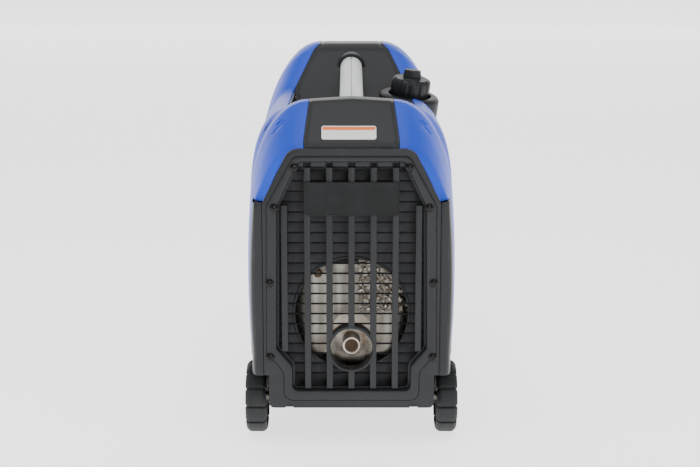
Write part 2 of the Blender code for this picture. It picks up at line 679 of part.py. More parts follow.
def wheel(name, side):
    """A moulded wheel with tread blocks, on a plain bore."""
    centre = Vector((side * WHEEL_X, WHEEL_Y, WHEEL_RADIUS))
    bore = AXLE_RADIUS + GAP
    half = WHEEL_WIDTH / 2
    profile = [(bore, half - 0.004), (0.018, half - 0.004), (WHEEL_RADIUS - 0.013, half - 0.008),
               (WHEEL_RADIUS - 0.004, half), (WHEEL_RADIUS, half - 0.005)]
    profile += [(r, -d) for r, d in reversed(profile)]
    loops = []
    for radius, d in profile:
        ring = []
        for block in range(TREAD_BLOCKS):
            for part, groove in ((0.0, 1), (0.06, 0), (0.94, 0)):
                turn = math.tau * (block + part) / TREAD_BLOCKS + math.pi / 2
                tread = radius > WHEEL_RADIUS - 0.005
                r = radius - (0.0025 if groove and tread else 0.0)
                ring.append(centre + Vector((side * d, r * math.cos(turn), r * math.sin(turn))))
        loops.append(ring)
    solid(name, loops, RUBBER, cyclic=True, origin=centre)


def wheels_and_feet():
    wheel("wheel_left", -1)
    wheel("wheel_right", 1)
    reach = WHEEL_X + WHEEL_WIDTH / 2
    turned("wheel_axle", [(AXLE_RADIUS, -reach + 0.006), (AXLE_RADIUS, reach - 0.006)], STEEL,
           (0, WHEEL_Y, WHEEL_RADIUS), "X", 24)
    for side, name in ((-1, "hub_cap_left"), (1, "hub_cap_right")):
        profile = [(0.013, 0.0), (0.0125, side * 0.0025), (0.008, side * 0.0037)]
        turned(name, profile, BLACK, (side * (reach - 0.004 + GAP), WHEEL_Y, WHEEL_RADIUS), "X", 24)
    for side, name in ((-1, "front_foot_left"), (1, "front_foot_right")):
        place = (side * (HALF_WIDTH - 0.052), FRONT - 0.060, 0.0)
        profile = [(FOOT_RADIUS - 0.003, 0.0), (FOOT_RADIUS, 0.003), (FOOT_RADIUS, 0.012), (FOOT_RADIUS - 0.003, 0.014),
                   (FOOT_RADIUS + 0.002, TRAY_FLOOR - GAP)]
        turned(name, profile, RUBBER, place, "Z", 28)


# ---- fuel filler ------------------------------------------------------------------------------

CAP_BASE = Vector((CAP_X, CAP_Y, HEIGHT - CAP_BASE_DROP))
CAP_TURN = Matrix.Rotation(CAP_TILT_OUT, 3, "Y") @ Matrix.Rotation(CAP_TILT_REAR, 3, "X")


def filler_point(x, y, z):
    return CAP_BASE + CAP_TURN @ Vector((x, y, z))


def filler_turned(name, profile, look, count=32, hollow=False, origin=None):
    loops = [[filler_point(*p) for p in circle((0, 0, d), r, "Z", count)] for r, d in profile]
    return solid(name, loops, look, cyclic=hollow, origin=origin or CAP_BASE)


def filler_cylinder(name, radius, low, high):
    return filler_turned(name, [(radius, low), (radius, high)], BLACK)


def filler_cut(name):
    """Room for the bezel, down through the recess floor."""
    return filler_cylinder(name, BEZEL_RADIUS + GAP, RECESS_FLOOR - 0.015 - CAP_BASE.z, 0.060)


def fuel_group():
    """Bezel round the filler, the tank under the recess, and the cap with its seal and vent knob."""
    lip = CAP_RADIUS + 0.003
    filler_turned("filler_bezel", [(BEZEL_RADIUS, -0.034), (BEZEL_RADIUS, -0.004), (BEZEL_RADIUS - 0.006, 0.001),
                                   (lip, 0.001), (lip - 0.001, -0.006), (NECK_RADIUS + 0.003, -0.006),
                                   (NECK_RADIUS + 0.003, -0.009), (BEZEL_RADIUS - WALL, -0.009),
                                   (BEZEL_RADIUS - WALL, -0.034)], BLACK, 28, hollow=True)
    top = RECESS_FLOOR - WALL - 0.004
    tank = box("fuel_tank", (-0.098, PILLAR_WALL_Y + 0.030, top - 0.068), (HALF_WIDTH - 0.040, FACE_Y - 0.010, top),
               BLACK, 0.004)
    boolean(tank, filler_cylinder("tank_neck", NECK_RADIUS, -0.075, -0.0015), "UNION")
    boolean(tank, box("tank_inside", (-0.094, PILLAR_WALL_Y + 0.034, top - 0.064),
                      (HALF_WIDTH - 0.044, FACE_Y - 0.014, top - 0.004), BLACK))
    boolean(tank, filler_cylinder("neck_bore", NECK_RADIUS - 0.0025, -0.076, 0.01))
    filler_turned("fuel_cap_gasket", [(NECK_RADIUS - 0.0005, -0.0012), (NECK_RADIUS - 0.0005, 0.0008),
                                      (NECK_RADIUS - 0.005, 0.0008), (NECK_RADIUS - 0.005, -0.0012)], RUBBER, 28,
                  hollow=True)
    skirt = [(CAP_RADIUS - 0.0035, -0.0042), (CAP_RADIUS - 0.001, 0.004), (CAP_RADIUS, 0.006),
             (CAP_RADIUS, CAP_HEIGHT - 0.004), (CAP_RADIUS - 0.003, CAP_HEIGHT - 0.001), (0.010, CAP_HEIGHT)]
    inside = [(0.010, 0.0012), (NECK_RADIUS + 0.001, 0.0012), (NECK_RADIUS + 0.001, -0.0042)]
    loops = []
    for radius, d in skirt + inside:
        ring = []
        for i in range(36):
            turn = math.tau * i / 36
            gripped = radius > CAP_RADIUS - 0.004
            r = radius - (0.0014 if gripped and i % 3 == 0 else 0.0)
            ring.append(filler_point(r * math.cos(turn), r * math.sin(turn), d))
        loops.append(ring)
    cap = solid("fuel_cap", loops, BLACK, cyclic=True, origin=CAP_BASE)
    cap.modifiers.new("Top", "WELD").merge_threshold = 0.00005
    knob_low = CAP_HEIGHT + GAP
    outline = [(-KNOB_HALF, 0.0042), (-0.006, 0.0075), (0.006, 0.0075), (KNOB_HALF, 0.0042),
               (KNOB_HALF, -0.0042), (0.006, -0.0075), (-0.006, -0.0075), (-KNOB_HALF, -0.0042)]
    levels = ((1.0, knob_low), (1.0, knob_low + 0.010), (0.86, knob_low + 0.0115))
    loops = [[filler_point(x * scale, y * scale, z) for x, y in outline] for scale, z in levels]
    solid("vent_knob", loops, BLACK, origin=filler_point(0, 0, knob_low))


# ---- engine, alternator and starter -----------------------------------------------------------

ENGINE_Y = REAR + ENGINE_FROM_REAR
ALTERNATOR_Y = ENGINE_Y + 0.125
FAN_Y = ALTERNATOR_Y + 0.052
RECOIL_Y = FAN_Y + 0.026


def engine():
    """Crankcase, finned cylinder with its head, intake parts and the oil cap."""
    half = 0.064
    block = box("engine_block", (-half, ENGINE_Y, 0.105), (half, ENGINE_Y + 0.118, 0.248), ALUMINIUM, 0.010)
    boolean(block, turned("crank_bore", [(SHAFT_RADIUS + 2 * GAP, 0.06), (SHAFT_RADIUS + 2 * GAP, 0.13)], STEEL,
                          (0, ENGINE_Y, SHAFT_Z), "Y", 24))
    loops = []
    z = 0.248 + GAP
    middle = ENGINE_Y + 0.062
    for fin in range(7):
        for half_x, half_y, rise in ((0.046, 0.040, 0.0045), (0.046, 0.040, 0.0), (0.037, 0.032, 0.0045),
                                     (0.037, 0.032, 0.0)):
            loops.append([Vector((x * half_x, middle + y * half_y, z)) for x, y in ((-1, -1), (1, -1), (1, 1), (-1, 1))])
            z += rise
    solid("cylinder_head", loops[:-2], ALUMINIUM)
    intake_x = -0.0465
    box("carburettor", (intake_x - 0.034, middle - 0.018, 0.262), (intake_x, middle + 0.018, 0.300), ALUMINIUM, 0.005)
    box("air_cleaner", (intake_x - 0.0785, middle - 0.050, 0.205), (intake_x - 0.0345, middle + 0.045, 0.312), BLACK, 0.008)
    cap_x = -half - GAP
    turned("oil_filler_cap", [(0.012, 0.0), (0.012, -0.006), (0.0145, -0.007), (0.0145, -0.015), (0.012, -0.017)],
           RED, (cap_x, ENGINE_Y + 0.030, 0.138), "X", 24)


def alternator():
    """Stator ring on the crankcase, with the rotor, shaft and cooling fan turning inside it."""
    inner = STATOR_RADIUS - 0.014
    turned("stator", [(STATOR_RADIUS, 0), (STATOR_RADIUS, 0.042), (inner, 0.042), (inner, 0)], COPPER,
           (0, ALTERNATOR_Y, SHAFT_Z), "Y", 28, hollow=True)
    rotor = inner - 0.001
    turned("rotor_shaft", [(SHAFT_RADIUS, -0.050), (SHAFT_RADIUS, 0.004), (rotor, 0.006), (rotor, 0.036),
                           (SHAFT_RADIUS, 0.038), (SHAFT_RADIUS, 0.0665)], STEEL,
           (0, ALTERNATOR_Y, SHAFT_Z), "Y", 28)
    blades = 9
    loops = []
    for tip, hub, d in ((0.066, 0.034, 0.0), (0.066, 0.034, 0.012)):
        ring = []
        for i in range(blades):
            for part, radius in ((0.0, hub), (0.25, tip), (0.40, tip), (0.55, hub)):
                turn = math.tau * (i + part) / blades
                ring.append(Vector((radius * math.cos(turn), FAN_Y + d, SHAFT_Z + radius * math.sin(turn))))
        loops.append(ring)
    count = blades * 4
    bore = [[Vector((r * math.cos(math.tau * i / count), FAN_Y + d, SHAFT_Z + r * math.sin(math.tau * i / count)))
             for i in range(count)] for r, d in ((SHAFT_RADIUS + GAP, 0.012), (SHAFT_RADIUS + GAP, 0.0))]
    solid("cooling_fan", loops + bore, BLACK, cyclic=True, origin=(0, FAN_Y, SHAFT_Z))


def recoil_recess(name, inset):
    half_y, half_z = 0.046 - inset, 0.020 - inset
    low_x = HALF_WIDTH - 0.030 + inset
    high_x = HALF_WIDTH - 0.0018 if inset == 0.0 else HALF_WIDTH + 0.01
    return box(name, (low_x, RECOIL_Y - half_y, ROPE_Z - half_z), (high_x, RECOIL_Y + half_y, ROPE_Z + half_z), BLUE)


def starter():
    """Rope pulley behind the fan, its housing, and the pull grip in the right side."""
    turned("recoil_pulley", [(PULLEY_RADIUS, -0.005), (PULLEY_RADIUS - 0.006, -0.002), (PULLEY_RADIUS - 0.006, 0.002),
                             (PULLEY_RADIUS, 0.005), (0.006, 0.005), (0.006, -0.005)], BLACK,
           (0, RECOIL_Y, SHAFT_Z), "Y", 24, hollow=True)
    outer = 0.078
    turned("recoil_housing", [(outer, -0.034), (outer, 0.012), (outer - 0.006, 0.016), (0.004, 0.016), (0.004, 0.0075),
                              (outer - WALL, 0.0075), (outer - WALL, -0.034)], BLACK,
           (0, RECOIL_Y, SHAFT_Z), "Y", 28, hollow=True)
    bpy.data.objects["recoil_housing"].modifiers.new("Weld", "WELD").merge_threshold = 0.00005
    housing_hole = turned("rope_exit", [(0.008, 0.03), (0.008, 0.10)], BLACK, (0, RECOIL_Y, ROPE_Z), "X", 20)
    boolean(bpy.data.objects["recoil_housing"], housing_hole)
    bar_x = HALF_WIDTH - 0.0095
    grip = box("recoil_grip", (bar_x - 0.0065, RECOIL_Y - 0.036, ROPE_Z - 0.0085),
               (bar_x + 0.0065, RECOIL_Y + 0.036, ROPE_Z + 0.0085), BLACK, 0.004, (bar_x, RECOIL_Y, ROPE_Z))
    boolean(grip, turned("grip_stem", [(0.0055, -0.024), (0.0055, 0.0)], BLACK, (bar_x, RECOIL_Y, ROPE_Z), "X", 16),
            "UNION")


def inverter_module():
    """Potted inverter with cooling fins along its top, on the tray floor near the front."""
    half = 0.082
    low = TRAY_FLOOR + 0.0045
    fins = 9
    section = [(-half, low), (half, low)]
    for n in range(fins):
        x = half - n * (2 * half - 0.004) / (fins - 1)
        section += [(x, low + 0.036), (x - 0.004, low + 0.036)]
        if n < fins - 1:
            step = (2 * half - 0.004) / (fins - 1)
            section += [(x - 0.004, low + 0.024), (x - step, low + 0.024)]
    ends = (FRONT - 0.150, FRONT - 0.035)
    solid("inverter_module", [[Vector((x, y, z)) for x, z in section] for y in ends], ALUMINIUM)


# ---- front end --------------------------------------------------------------------------------

def front_end():
    """Front frame, the control panel in it, and everything mounted on the panel."""
    panel_top = HEIGHT - PANEL_TOP_DROP
    start = FRONT - 0.015
    shoulder = [body_outline(start, t / 7) for t in range(8)]
    lower = [body_outline(start, 1.5), body_outline(start, 2.0)]
    end_x = lower[-1].x
    half_outline = shoulder + lower + [Vector((end_x - 0.010, 0.070)), Vector((end_x - 0.024, GROUND_CLEARANCE))]
    border = half_outline + [Vector((-p.x, p.y)) for p in reversed(half_outline)]
    opening = []
    centre_z = (panel_top + PANEL_BOTTOM) / 2
    for p in border:
        x = max(-PANEL_HALF, min(PANEL_HALF, p.x * 2.0))
        z = max(PANEL_BOTTOM, min(panel_top, centre_z + (p.y - centre_z) * 1.35))
        opening.append(Vector((x, z)))
    loops = [at_y(border, start + GAP), at_y(grown(border, -0.001), FRONT - 0.003),
             at_y(grown(border, -0.004), FRONT), at_y(opening, FRONT), at_y(opening, start + GAP)]
    solid("front_frame", loops, BLACK, cyclic=True)
    face = FRONT - PANEL_RECESS
    inset = 2 * GAP
    panel = box("control_panel", (-PANEL_HALF + inset, face - 0.004, PANEL_BOTTOM + inset),
                (PANEL_HALF - inset, face, panel_top - inset), BLACK)
    sockets = ((-0.048, 0.190), (-0.048, 0.255))
    for number, (x, z) in enumerate(sockets, 1):
        boolean(panel, turned("socket_cut_%d" % number, [(SOCKET_RADIUS + GAP, -0.02), (SOCKET_RADIUS + GAP, 0.02)],
                              BLACK, (x, face, z), "Y", 24))
        cup = SOCKET_RADIUS - 0.0035
        turned("ac_socket_%d" % number, [(SOCKET_RADIUS + 0.004, GAP), (SOCKET_RADIUS + 0.003, 0.0022), (cup, 0.0022),
                                         (cup, -0.012), (0.0035, -0.012), (0.0035, -0.018), (SOCKET_RADIUS, -0.018),
                                         (SOCKET_RADIUS, GAP)], BLACK, (x, face, z), "Y", 24, hollow=True)
        hinge = (x, face + 0.0050, z + SOCKET_RADIUS + 0.0060)
        bm = bmesh.new()
        radius = SOCKET_RADIUS + 0.0035
        flap = [circle((x, face + d, z), radius, "Y", 28) for d in (0.0028, 0.0055)]
        skin(bm, flap)
        cover = add_object("socket_flap_%d" % number, bm, BLACK, hinge)
        boolean(cover, box("flap_tab_%d" % number, (x - 0.009, face + 0.0030, z + SOCKET_RADIUS - 0.004),
                           (x + 0.009, face + 0.0070, z + SOCKET_RADIUS + 0.0080), BLACK), "UNION")
    dial = (0.048, face + GAP, 0.300)
    turned("engine_dial", [(0.026, 0), (0.026, 0.004), (0.019, 0.006), (0.018, 0.0155), (0.015, 0.017)], RED, dial,
           "Y", 32)
    rocker = (0.048, face + 0.004, 0.225)
    box("eco_switch", (rocker[0] - 0.010, face + 0.0025, rocker[2] - 0.013),
        (rocker[0] + 0.010, face + 0.0085, rocker[2] + 0.013), RED, 0.001, rocker)
    button = (0.048, face + 0.0025, 0.165)
    turned("reset_button", [(0.0065, 0), (0.0065, 0.006), (0.0052, 0.0072)], WHITE, button, "Y", 24)


side_shells()
service_cover()
corner_trims()
pillar_covers()
tank_deck()
handle()
rear_frame()
rear_screws()
rear_grille()
muffler_group()
base_tray()
wheels_and_feet()
fuel_group()
engine()
alternator()
starter()
inverter_module()
front_end()
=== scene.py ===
# Closed inverter generator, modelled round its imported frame. Metres, +Z up, exhaust end at -Y.
import json
import math
import random

import bpy
from mathutils import Matrix, Vector


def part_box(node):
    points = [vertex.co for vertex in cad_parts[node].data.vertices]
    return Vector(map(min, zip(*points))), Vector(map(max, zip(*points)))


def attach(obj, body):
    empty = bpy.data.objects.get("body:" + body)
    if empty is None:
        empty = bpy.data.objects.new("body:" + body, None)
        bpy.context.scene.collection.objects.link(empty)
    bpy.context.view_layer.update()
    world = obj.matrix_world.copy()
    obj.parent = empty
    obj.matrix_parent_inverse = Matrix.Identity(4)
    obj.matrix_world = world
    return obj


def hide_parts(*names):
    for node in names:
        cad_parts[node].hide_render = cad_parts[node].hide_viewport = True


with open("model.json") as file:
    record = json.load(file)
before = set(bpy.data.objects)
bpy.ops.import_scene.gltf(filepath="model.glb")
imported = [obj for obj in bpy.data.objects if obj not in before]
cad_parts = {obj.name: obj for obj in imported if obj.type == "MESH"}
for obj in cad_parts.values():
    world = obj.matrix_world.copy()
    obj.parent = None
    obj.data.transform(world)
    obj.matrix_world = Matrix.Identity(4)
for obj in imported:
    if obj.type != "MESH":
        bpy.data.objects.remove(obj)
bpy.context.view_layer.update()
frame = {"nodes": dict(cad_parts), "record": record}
print("frame loaded:", len(frame["nodes"]), "nodes")

# Shader maths


class Wire:                                   # one socket of a material, usable in plain expressions
    def __init__(self, tree, socket):
        self.tree = tree
        self.socket = socket

    def add(self, kind, settings, values, out=0):    # any node: its settings, then its sockets
        made = self.tree.nodes.new(kind)
        for key, value in settings.items():
            setattr(made, key, value)
        for key, value in values.items():
            self.feed(made.inputs[key], value)
        return Wire(self.tree, made.outputs[out])

    def feed(self, target, value):
        if isinstance(value, Wire):
            self.tree.links.new(value.socket, target)
        else:
            target.default_value = value

    def maths(self, operation, *values):
        return self.add("ShaderNodeMath", {"operation": operation}, dict(enumerate(values)))

    def __add__(self, other):
        return self.maths("ADD", self, other)

    def __radd__(self, other):
        return self.maths("ADD", other, self)

    def __sub__(self, other):
        return self.maths("SUBTRACT", self, other)

    def __rsub__(self, other):
        return self.maths("SUBTRACT", other, self)

    def __mul__(self, other):
        return self.maths("MULTIPLY", self, other)

    def least(self, other):
        return self.maths("MINIMUM", self, other)

    def size(self):
        return self.maths("ABSOLUTE", self)

    def wave(self):
        return self.maths("SINE", self)

    def band(self, low, high):                # 0 below low, 1 above high, smooth between
        ease = {"interpolation_type": "SMOOTHSTEP"}
        return self.add("ShaderNodeMapRange", ease, {"Value": self, "From Min": low, "From Max": high})

    def axis(self, which):
        return self.add("ShaderNodeSeparateXYZ", {}, {0: self}, "XYZ".index(which))

    def noise(self, scale, detail=3.0, rough=0.5):
        values = {"Vector": self, "Scale": scale, "Detail": detail, "Roughness": rough}
        return self.add("ShaderNodeTexNoise", {}, values)

    def cells(self, scale, feature):
        return self.add("ShaderNodeTexVoronoi", {"feature": feature}, {"Vector": self, "Scale": scale})

    def stretched(self, scale):
        return self.add("ShaderNodeMapping", {}, {"Vector": self, "Scale": scale})

    def blend(self, low, high):               # a colour between two, by this value
        return self.add("ShaderNodeMix", {"data_type": "RGBA"}, {"Factor": self, 6: (*low, 1.0), 7: (*high, 1.0)}, 2)

    def bump(self, distance, strength=1.0):
        return self.add("ShaderNodeBump", {}, {"Height": self, "Distance": distance, "Strength": strength})

    def distance(self, point):
        return self.add("ShaderNodeVectorMath", {"operation": "DISTANCE"}, {0: self, 1: point}, 1)


def newMaterial(name, plain):                 # plain: values that are the same all over
    made = bpy.data.materials.new(name)
    made.use_nodes = True
    shader = made.node_tree.nodes["Principled BSDF"]
    for key, value in plain.items():
        shader.inputs[key].default_value = value
    place = made.node_tree.nodes.new("ShaderNodeTexCoord")
    return made, shader, Wire(made.node_tree, place.outputs["Object"])


def plug(shader, values):
    for key, value in values.items():
        value.feed(shader.inputs[key], value)


# Finishes. Patches, grain and the like are a noise's scale, detail and roughness, edges the band that
# turns it into a mask, and relief a bump's depth and strength.

satinBlue = {"plain": {"Coat Weight": 0.02, "Coat Roughness": 0.22, "Specular IOR Level": 0.13},
             "low": (0.022, 0.067, 0.530), "high": (0.027, 0.080, 0.600), "patches": (7.0, 2.0), "edges": (0.3, 0.7),
             "roughness": 0.34, "uneven": 0.08, "speckle": 0.04, "grain": (620.0, 2.0), "relief": (0.00004,)}
paleGrip = {"plain": {"IOR": 1.48}, "low": (0.70, 0.72, 0.71), "high": (0.62, 0.64, 0.64),
            "stretch": (1.0, 0.25, 1.0), "patches": (38.0, 3.0), "edges": (0.35, 0.7), "roughness": 0.42,
            "uneven": 0.08, "grain": (1500.0, 2.0), "relief": (0.00005, 0.7)}
scorchedSteel = {"plain": {"Metallic": 1.0}, "low": (0.105, 0.075, 0.058), "high": (0.17, 0.12, 0.085),
                 "patches": (70.0, 4.0, 0.6), "edges": (0.4, 0.65), "roughness": 0.50, "uneven": 0.15,
                 "grain": (900.0, 2.0), "relief": (0.0001, 0.5)}
rimSteel = {**scorchedSteel, "low": (0.78, 0.75, 0.70), "high": (0.62, 0.54, 0.44), "roughness": 0.30}
redCap = {"plain": {"Specular IOR Level": 0.4}, "low": (0.44, 0.012, 0.010), "high": (0.55, 0.018, 0.012),
          "patches": (40.0, 3.0), "edges": (0.35, 0.65), "roughness": 0.36, "uneven": 0.08,
          "grain": (1300.0, 2.0), "relief": (0.00005, 0.6)}
whiteButton = {**redCap, "low": (0.72, 0.72, 0.70), "high": (0.80, 0.80, 0.78), "roughness": 0.38}
# Near-black for the cross ribs, darker than the rest of the grille moulding: painted shade, not a colour of their own
paintedShadeBlack = {**redCap, "plain": {"Specular IOR Level": 0.12}, "low": (0.004, 0.004, 0.005),
             "high": (0.007, 0.007, 0.008), "roughness": 0.62}
# Dark grey, lighter than the other blacks: on the inner panel it is painted light standing in for the light that panel
# catches, on the shoulder wedge it is the wedge's own grey
decalGreyAndPaintedLight = {**redCap, "plain": {"Specular IOR Level": 0.3}, "low": (0.030, 0.031, 0.034),
             "high": (0.042, 0.044, 0.047), "roughness": 0.55}
blackFoil = {**redCap, "plain": {"Specular IOR Level": 0.8}, "low": (0.006, 0.006, 0.006),
             "high": (0.05, 0.05, 0.05), "roughness": 0.12}
glossPlate = {**redCap, "plain": {"Specular IOR Level": 0.2}, "low": (0.004, 0.0045, 0.005),
              "high": (0.007, 0.0075, 0.0085), "roughness": 0.42}


def makePatched(name, look):                  # two colours in soft patches, over a fine grain
    made, shader, here = newMaterial(name, look["plain"])
    field = here.stretched(look["stretch"]) if "stretch" in look else here
    patches, grain = field.noise(*look["patches"]), here.noise(*look["grain"])
    rough = look["roughness"] + patches * look["uneven"]
    if "speckle" in look:
        rough = rough + grain * look["speckle"]
    plug(shader, {"Base Color": patches.band(*look["edges"]).blend(look["low"], look["high"]),
                  "Roughness": rough, "Normal": grain.bump(*look["relief"])})
    return made


grainBlack = {"plain": {"Specular IOR Level": 0.28}, "low": (0.010, 0.011, 0.0125), "high": (0.016, 0.017, 0.019),
              "leather": 780.0, "grain": (1900.0, 2.0), "patches": (11.0, 3.0), "edges": (0.32, 0.68),
              "roughness": 0.43, "relief": (0.00012, 0.75)}


def makeGrainBlack(name, look):
    made, shader, here = newMaterial(name, look["plain"])
    leather = here.cells(look["leather"], "SMOOTH_F1")
    fine, cloud = here.noise(*look["grain"]), here.noise(*look["patches"])
    shade = (cloud * 0.6 + fine * 0.4).band(*look["edges"])
    plug(shader, {"Base Color": shade.blend(look["low"], look["high"]),
                  "Roughness": look["roughness"] + cloud * 0.10 - leather * 0.06,
                  "Normal": (leather * 0.7 + fine * 0.3).bump(*look["relief"])})
    return made


treadRubber = {"plain": {"Specular IOR Level": 0.36}, "low": (0.010, 0.011, 0.012), "high": (0.036, 0.035, 0.033),
               "patches": (26.0, 5.0, 0.62), "edges": (0.50, 0.82), "dust": 0.55, "grain": (900.0, 3.0),
               "roughness": 0.66, "relief": (0.0002, 0.6)}


def makeTreadRubber(name, look):
    made, shader, here = newMaterial(name, look["plain"])
    cloud, fine = here.noise(*look["patches"]), here.noise(*look["grain"])
    dusty = cloud.band(*look["edges"]) * look["dust"]
    plug(shader, {"Base Color": dusty.blend(look["low"], look["high"]),
                  "Roughness": look["roughness"] + dusty * 0.16,
                  "Normal": (fine * 0.6 + cloud * 0.4).bump(*look["relief"])})
    return made


pressedSteel = {"plain": {"Metallic": 1.0}, "low": (0.28, 0.268, 0.238), "high": (0.150, 0.105, 0.070),
                "outlet": (0.0, -0.235, 0.135), "tintReach": 0.062, "tintWaver": 0.030, "tint": (34.0, 3.0),
                "streak": (240.0, 3.0), "drawnOut": (1.0, 1.0, 0.05), "soot": (21.0, 5.0, 0.6),
                "sootEdges": (0.42, 0.74), "spots": (95.0, 4.0, 0.65), "spotEdges": (0.50, 0.66),
                "dents": (60.0, 3.0), "roughness": 0.24, "relief": (0.00030, 0.6)}


def makePressedSteel(name, look):             # heat tint, strongest round the outlet, with soot and spots
    made, shader, here = newMaterial(name, look["plain"])
    streak = here.stretched(look["drawnOut"]).noise(*look["streak"])
    soot = here.noise(*look["soot"]).band(*look["sootEdges"])
    spots = here.noise(*look["spots"]).band(*look["spotEdges"])
    away = here.distance(look["outlet"]) + (here.noise(*look["tint"]) - 0.5) * look["tintWaver"]
    tinted = 1 - away.band(look["tintReach"] * 0.35, look["tintReach"])
    stained = (tinted * (0.20 + spots * 0.65) + soot * 0.34).least(1.0)
    plug(shader, {"Base Color": stained.blend(look["low"], look["high"]),
                  "Roughness": look["roughness"] + streak * 0.16 + soot * 0.12,
                  "Normal": (streak * 0.4 + here.noise(*look["dents"])).bump(*look["relief"])})
    return made


foilShield = {"plain": {"Metallic": 1.0}, "low": (0.40, 0.385, 0.345), "high": (0.20, 0.17, 0.13),
              "dimple": 0.0075, "paintedCreaseShade": (0.02, 0.22), "soot": (26.0, 4.0), "sootEdges": (0.45, 0.75),
              "dents": (90.0, 3.0), "roughness": 0.26, "relief": (0.0012, 0.8)}


def makeFoilShield(name, look):
    made, shader, here = newMaterial(name, look["plain"])
    dents = here.cells(1.0 / look["dimple"], "DISTANCE_TO_EDGE")
    # Colour: the creases between the dimples are darkened as painted shade, and soot patches add real dirt on top
    paintedCreaseShade = 1 - dents.band(*look["paintedCreaseShade"])
    soot = here.noise(*look["soot"]).band(*look["sootEdges"])
    dark = (paintedCreaseShade * 0.7 + soot * 0.5).least(1.0)
    plug(shader, {"Base Color": dark.blend(look["low"], look["high"]),
                  "Roughness": look["roughness"] + dark * 0.22,
                  "Normal": (dents.band(0.0, 0.35) + here.noise(*look["dents"]) * 0.5).bump(*look["relief"])})
    return made


castAlloy = {"plain": {"Metallic": 0.9}, "low": (0.36, 0.37, 0.38), "high": (0.50, 0.51, 0.52),
             "grain": (700.0, 4.0, 0.6), "edges": (0.40, 0.60), "patches": (24.0, 3.0), "roughness": 0.48,
             "relief": (0.00025, 0.8)}


def makeCastAlloy(name, look):
    made, shader, here = newMaterial(name, look["plain"])
    grain, cloud = here.noise(*look["grain"]), here.noise(*look["patches"])
    plug(shader, {"Base Color": grain.band(*look["edges"]).blend(look["low"], look["high"]),
                  "Roughness": look["roughness"] + cloud * 0.14,
                  "Normal": grain.bump(*look["relief"])})
    return made


copperWinding = {"plain": {"Metallic": 0.75, "Coat Weight": 0.4}, "low": (0.14, 0.05, 0.02),
                 "high": (0.52, 0.20, 0.07), "strand": 0.0016, "edges": (0.1, 0.6), "patches": (60.0,),
                 "roughness": 0.32, "relief": (0.0004, 0.8)}


def makeCopperWinding(name, look):
    made, shader, here = newMaterial(name, look["plain"])
    strand = (here.axis("Y") * (math.tau / look["strand"])).wave().size()
    plug(shader, {"Base Color": strand.band(*look["edges"]).blend(look["low"], look["high"]),
                  "Roughness": look["roughness"] + here.noise(*look["patches"]) * 0.15,
                  "Normal": strand.bump(*look["relief"])})
    return made


blackScrew = {"plain": {"Specular IOR Level": 0.22}, "low": (0.002, 0.002, 0.0025), "high": (0.005, 0.005, 0.0055),
              "patches": (320.0, 3.0), "edges": (0.55, 0.75), "roughness": 0.12, "grain": (1600.0, 2.0),
              "relief": (0.00005, 0.5)}


def makeBlackScrew(name, look):
    made, shader, here = newMaterial(name, look["plain"])
    worn = here.noise(*look["patches"]).band(*look["edges"])
    plug(shader, {"Base Color": worn.blend(look["low"], look["high"]),
                  "Roughness": look["roughness"] + worn * 0.15,
                  "Normal": here.noise(*look["grain"]).bump(*look["relief"])})
    return made


paperLabel = {"plain": {"IOR": 1.45}, "paper": (0.80, 0.80, 0.78), "band": (0.86, 0.16, 0.02),
              "bandFrom": 0.4298, "bandTo": 0.4336, "middle": -0.0035, "half": 0.0353,
              "fibre": (1700.0, 3.0), "roughness": 0.40, "relief": (0.00003, 0.5)}


def makePaperLabel(name, look):               # pale, with one plain coloured band
    made, shader, here = newMaterial(name, look["plain"])
    fibre = here.noise(*look["fibre"])
    upright, across = here.axis("Z"), (here.axis("X") - look["middle"]).size()
    low, high, half = look["bandFrom"], look["bandTo"], look["half"]
    inside = (1 - upright.band(high - 0.0001, high + 0.0001)) * (1 - across.band(half, half + 0.0002))
    banded = upright.band(low - 0.00015, low + 0.00015) * inside
    plug(shader, {"Base Color": banded.blend(look["paper"], look["band"]),
                  "Roughness": look["roughness"] + fibre * 0.08,
                  "Normal": fibre.bump(*look["relief"])})
    return made


finishes = {
    "blue": makePatched("satinBlue", satinBlue), "black": makeGrainBlack("grainBlack", grainBlack),
    "deep": makePatched("paintedShadeBlack", paintedShadeBlack), "blackFoil": makePatched("blackFoil", blackFoil),
    "panel": makePatched("decalGreyAndPaintedLight", decalGreyAndPaintedLight), "rubber": makeTreadRubber("treadRubber", treadRubber),
    "grip": makePatched("paleGrip", paleGrip), "steel": makePressedSteel("pressedSteel", pressedSteel),
    "foil": makeFoilShield("foilShield", foilShield), "rim": makePatched("rimSteel", rimSteel),
    "scorched": makePatched("scorchedSteel", scorchedSteel), "alloy": makeCastAlloy("castAlloy", castAlloy),
    "copper": makeCopperWinding("copperWinding", copperWinding), "red": makePatched("redCap", redCap),
    "screw": makeBlackScrew("blackScrew", blackScrew), "white": makePatched("whiteButton", whiteButton),
    "plate": makePatched("glossPlate", glossPlate), "label": makePaperLabel("paperLabel", paperLabel),
}
slotFinish = {"blue_shell": "blue", "black_shell": "black", "rubber_black": "rubber", "light_grip": "grip",
              "steel": "steel", "burnt_steel": "scorched", "alloy": "alloy", "winding": "copper",
              "screw_black": "screw", "signal_red": "red", "signal_white": "white"}


def finishNodes():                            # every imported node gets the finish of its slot
    for part in frame["record"]["subparts"]:
        node = frame["nodes"][part["node"]]
        for place in node.material_slots:
            place.material = finishes[slotFinish[part["material_slot"]]]


finishNodes()
print("finishes made:", len(finishes))


# Modelling by hand


def clearSelection():
    if bpy.context.mode != "OBJECT":
        bpy.ops.object.mode_set(mode="OBJECT")
    bpy.ops.object.select_all(action="DESELECT")


def named(name):
    piece = bpy.context.active_object
    piece.name = name
    piece.data.name = name
    return piece


def only(piece):
    clearSelection()
    piece.select_set(True)
    bpy.context.view_layer.objects.active = piece


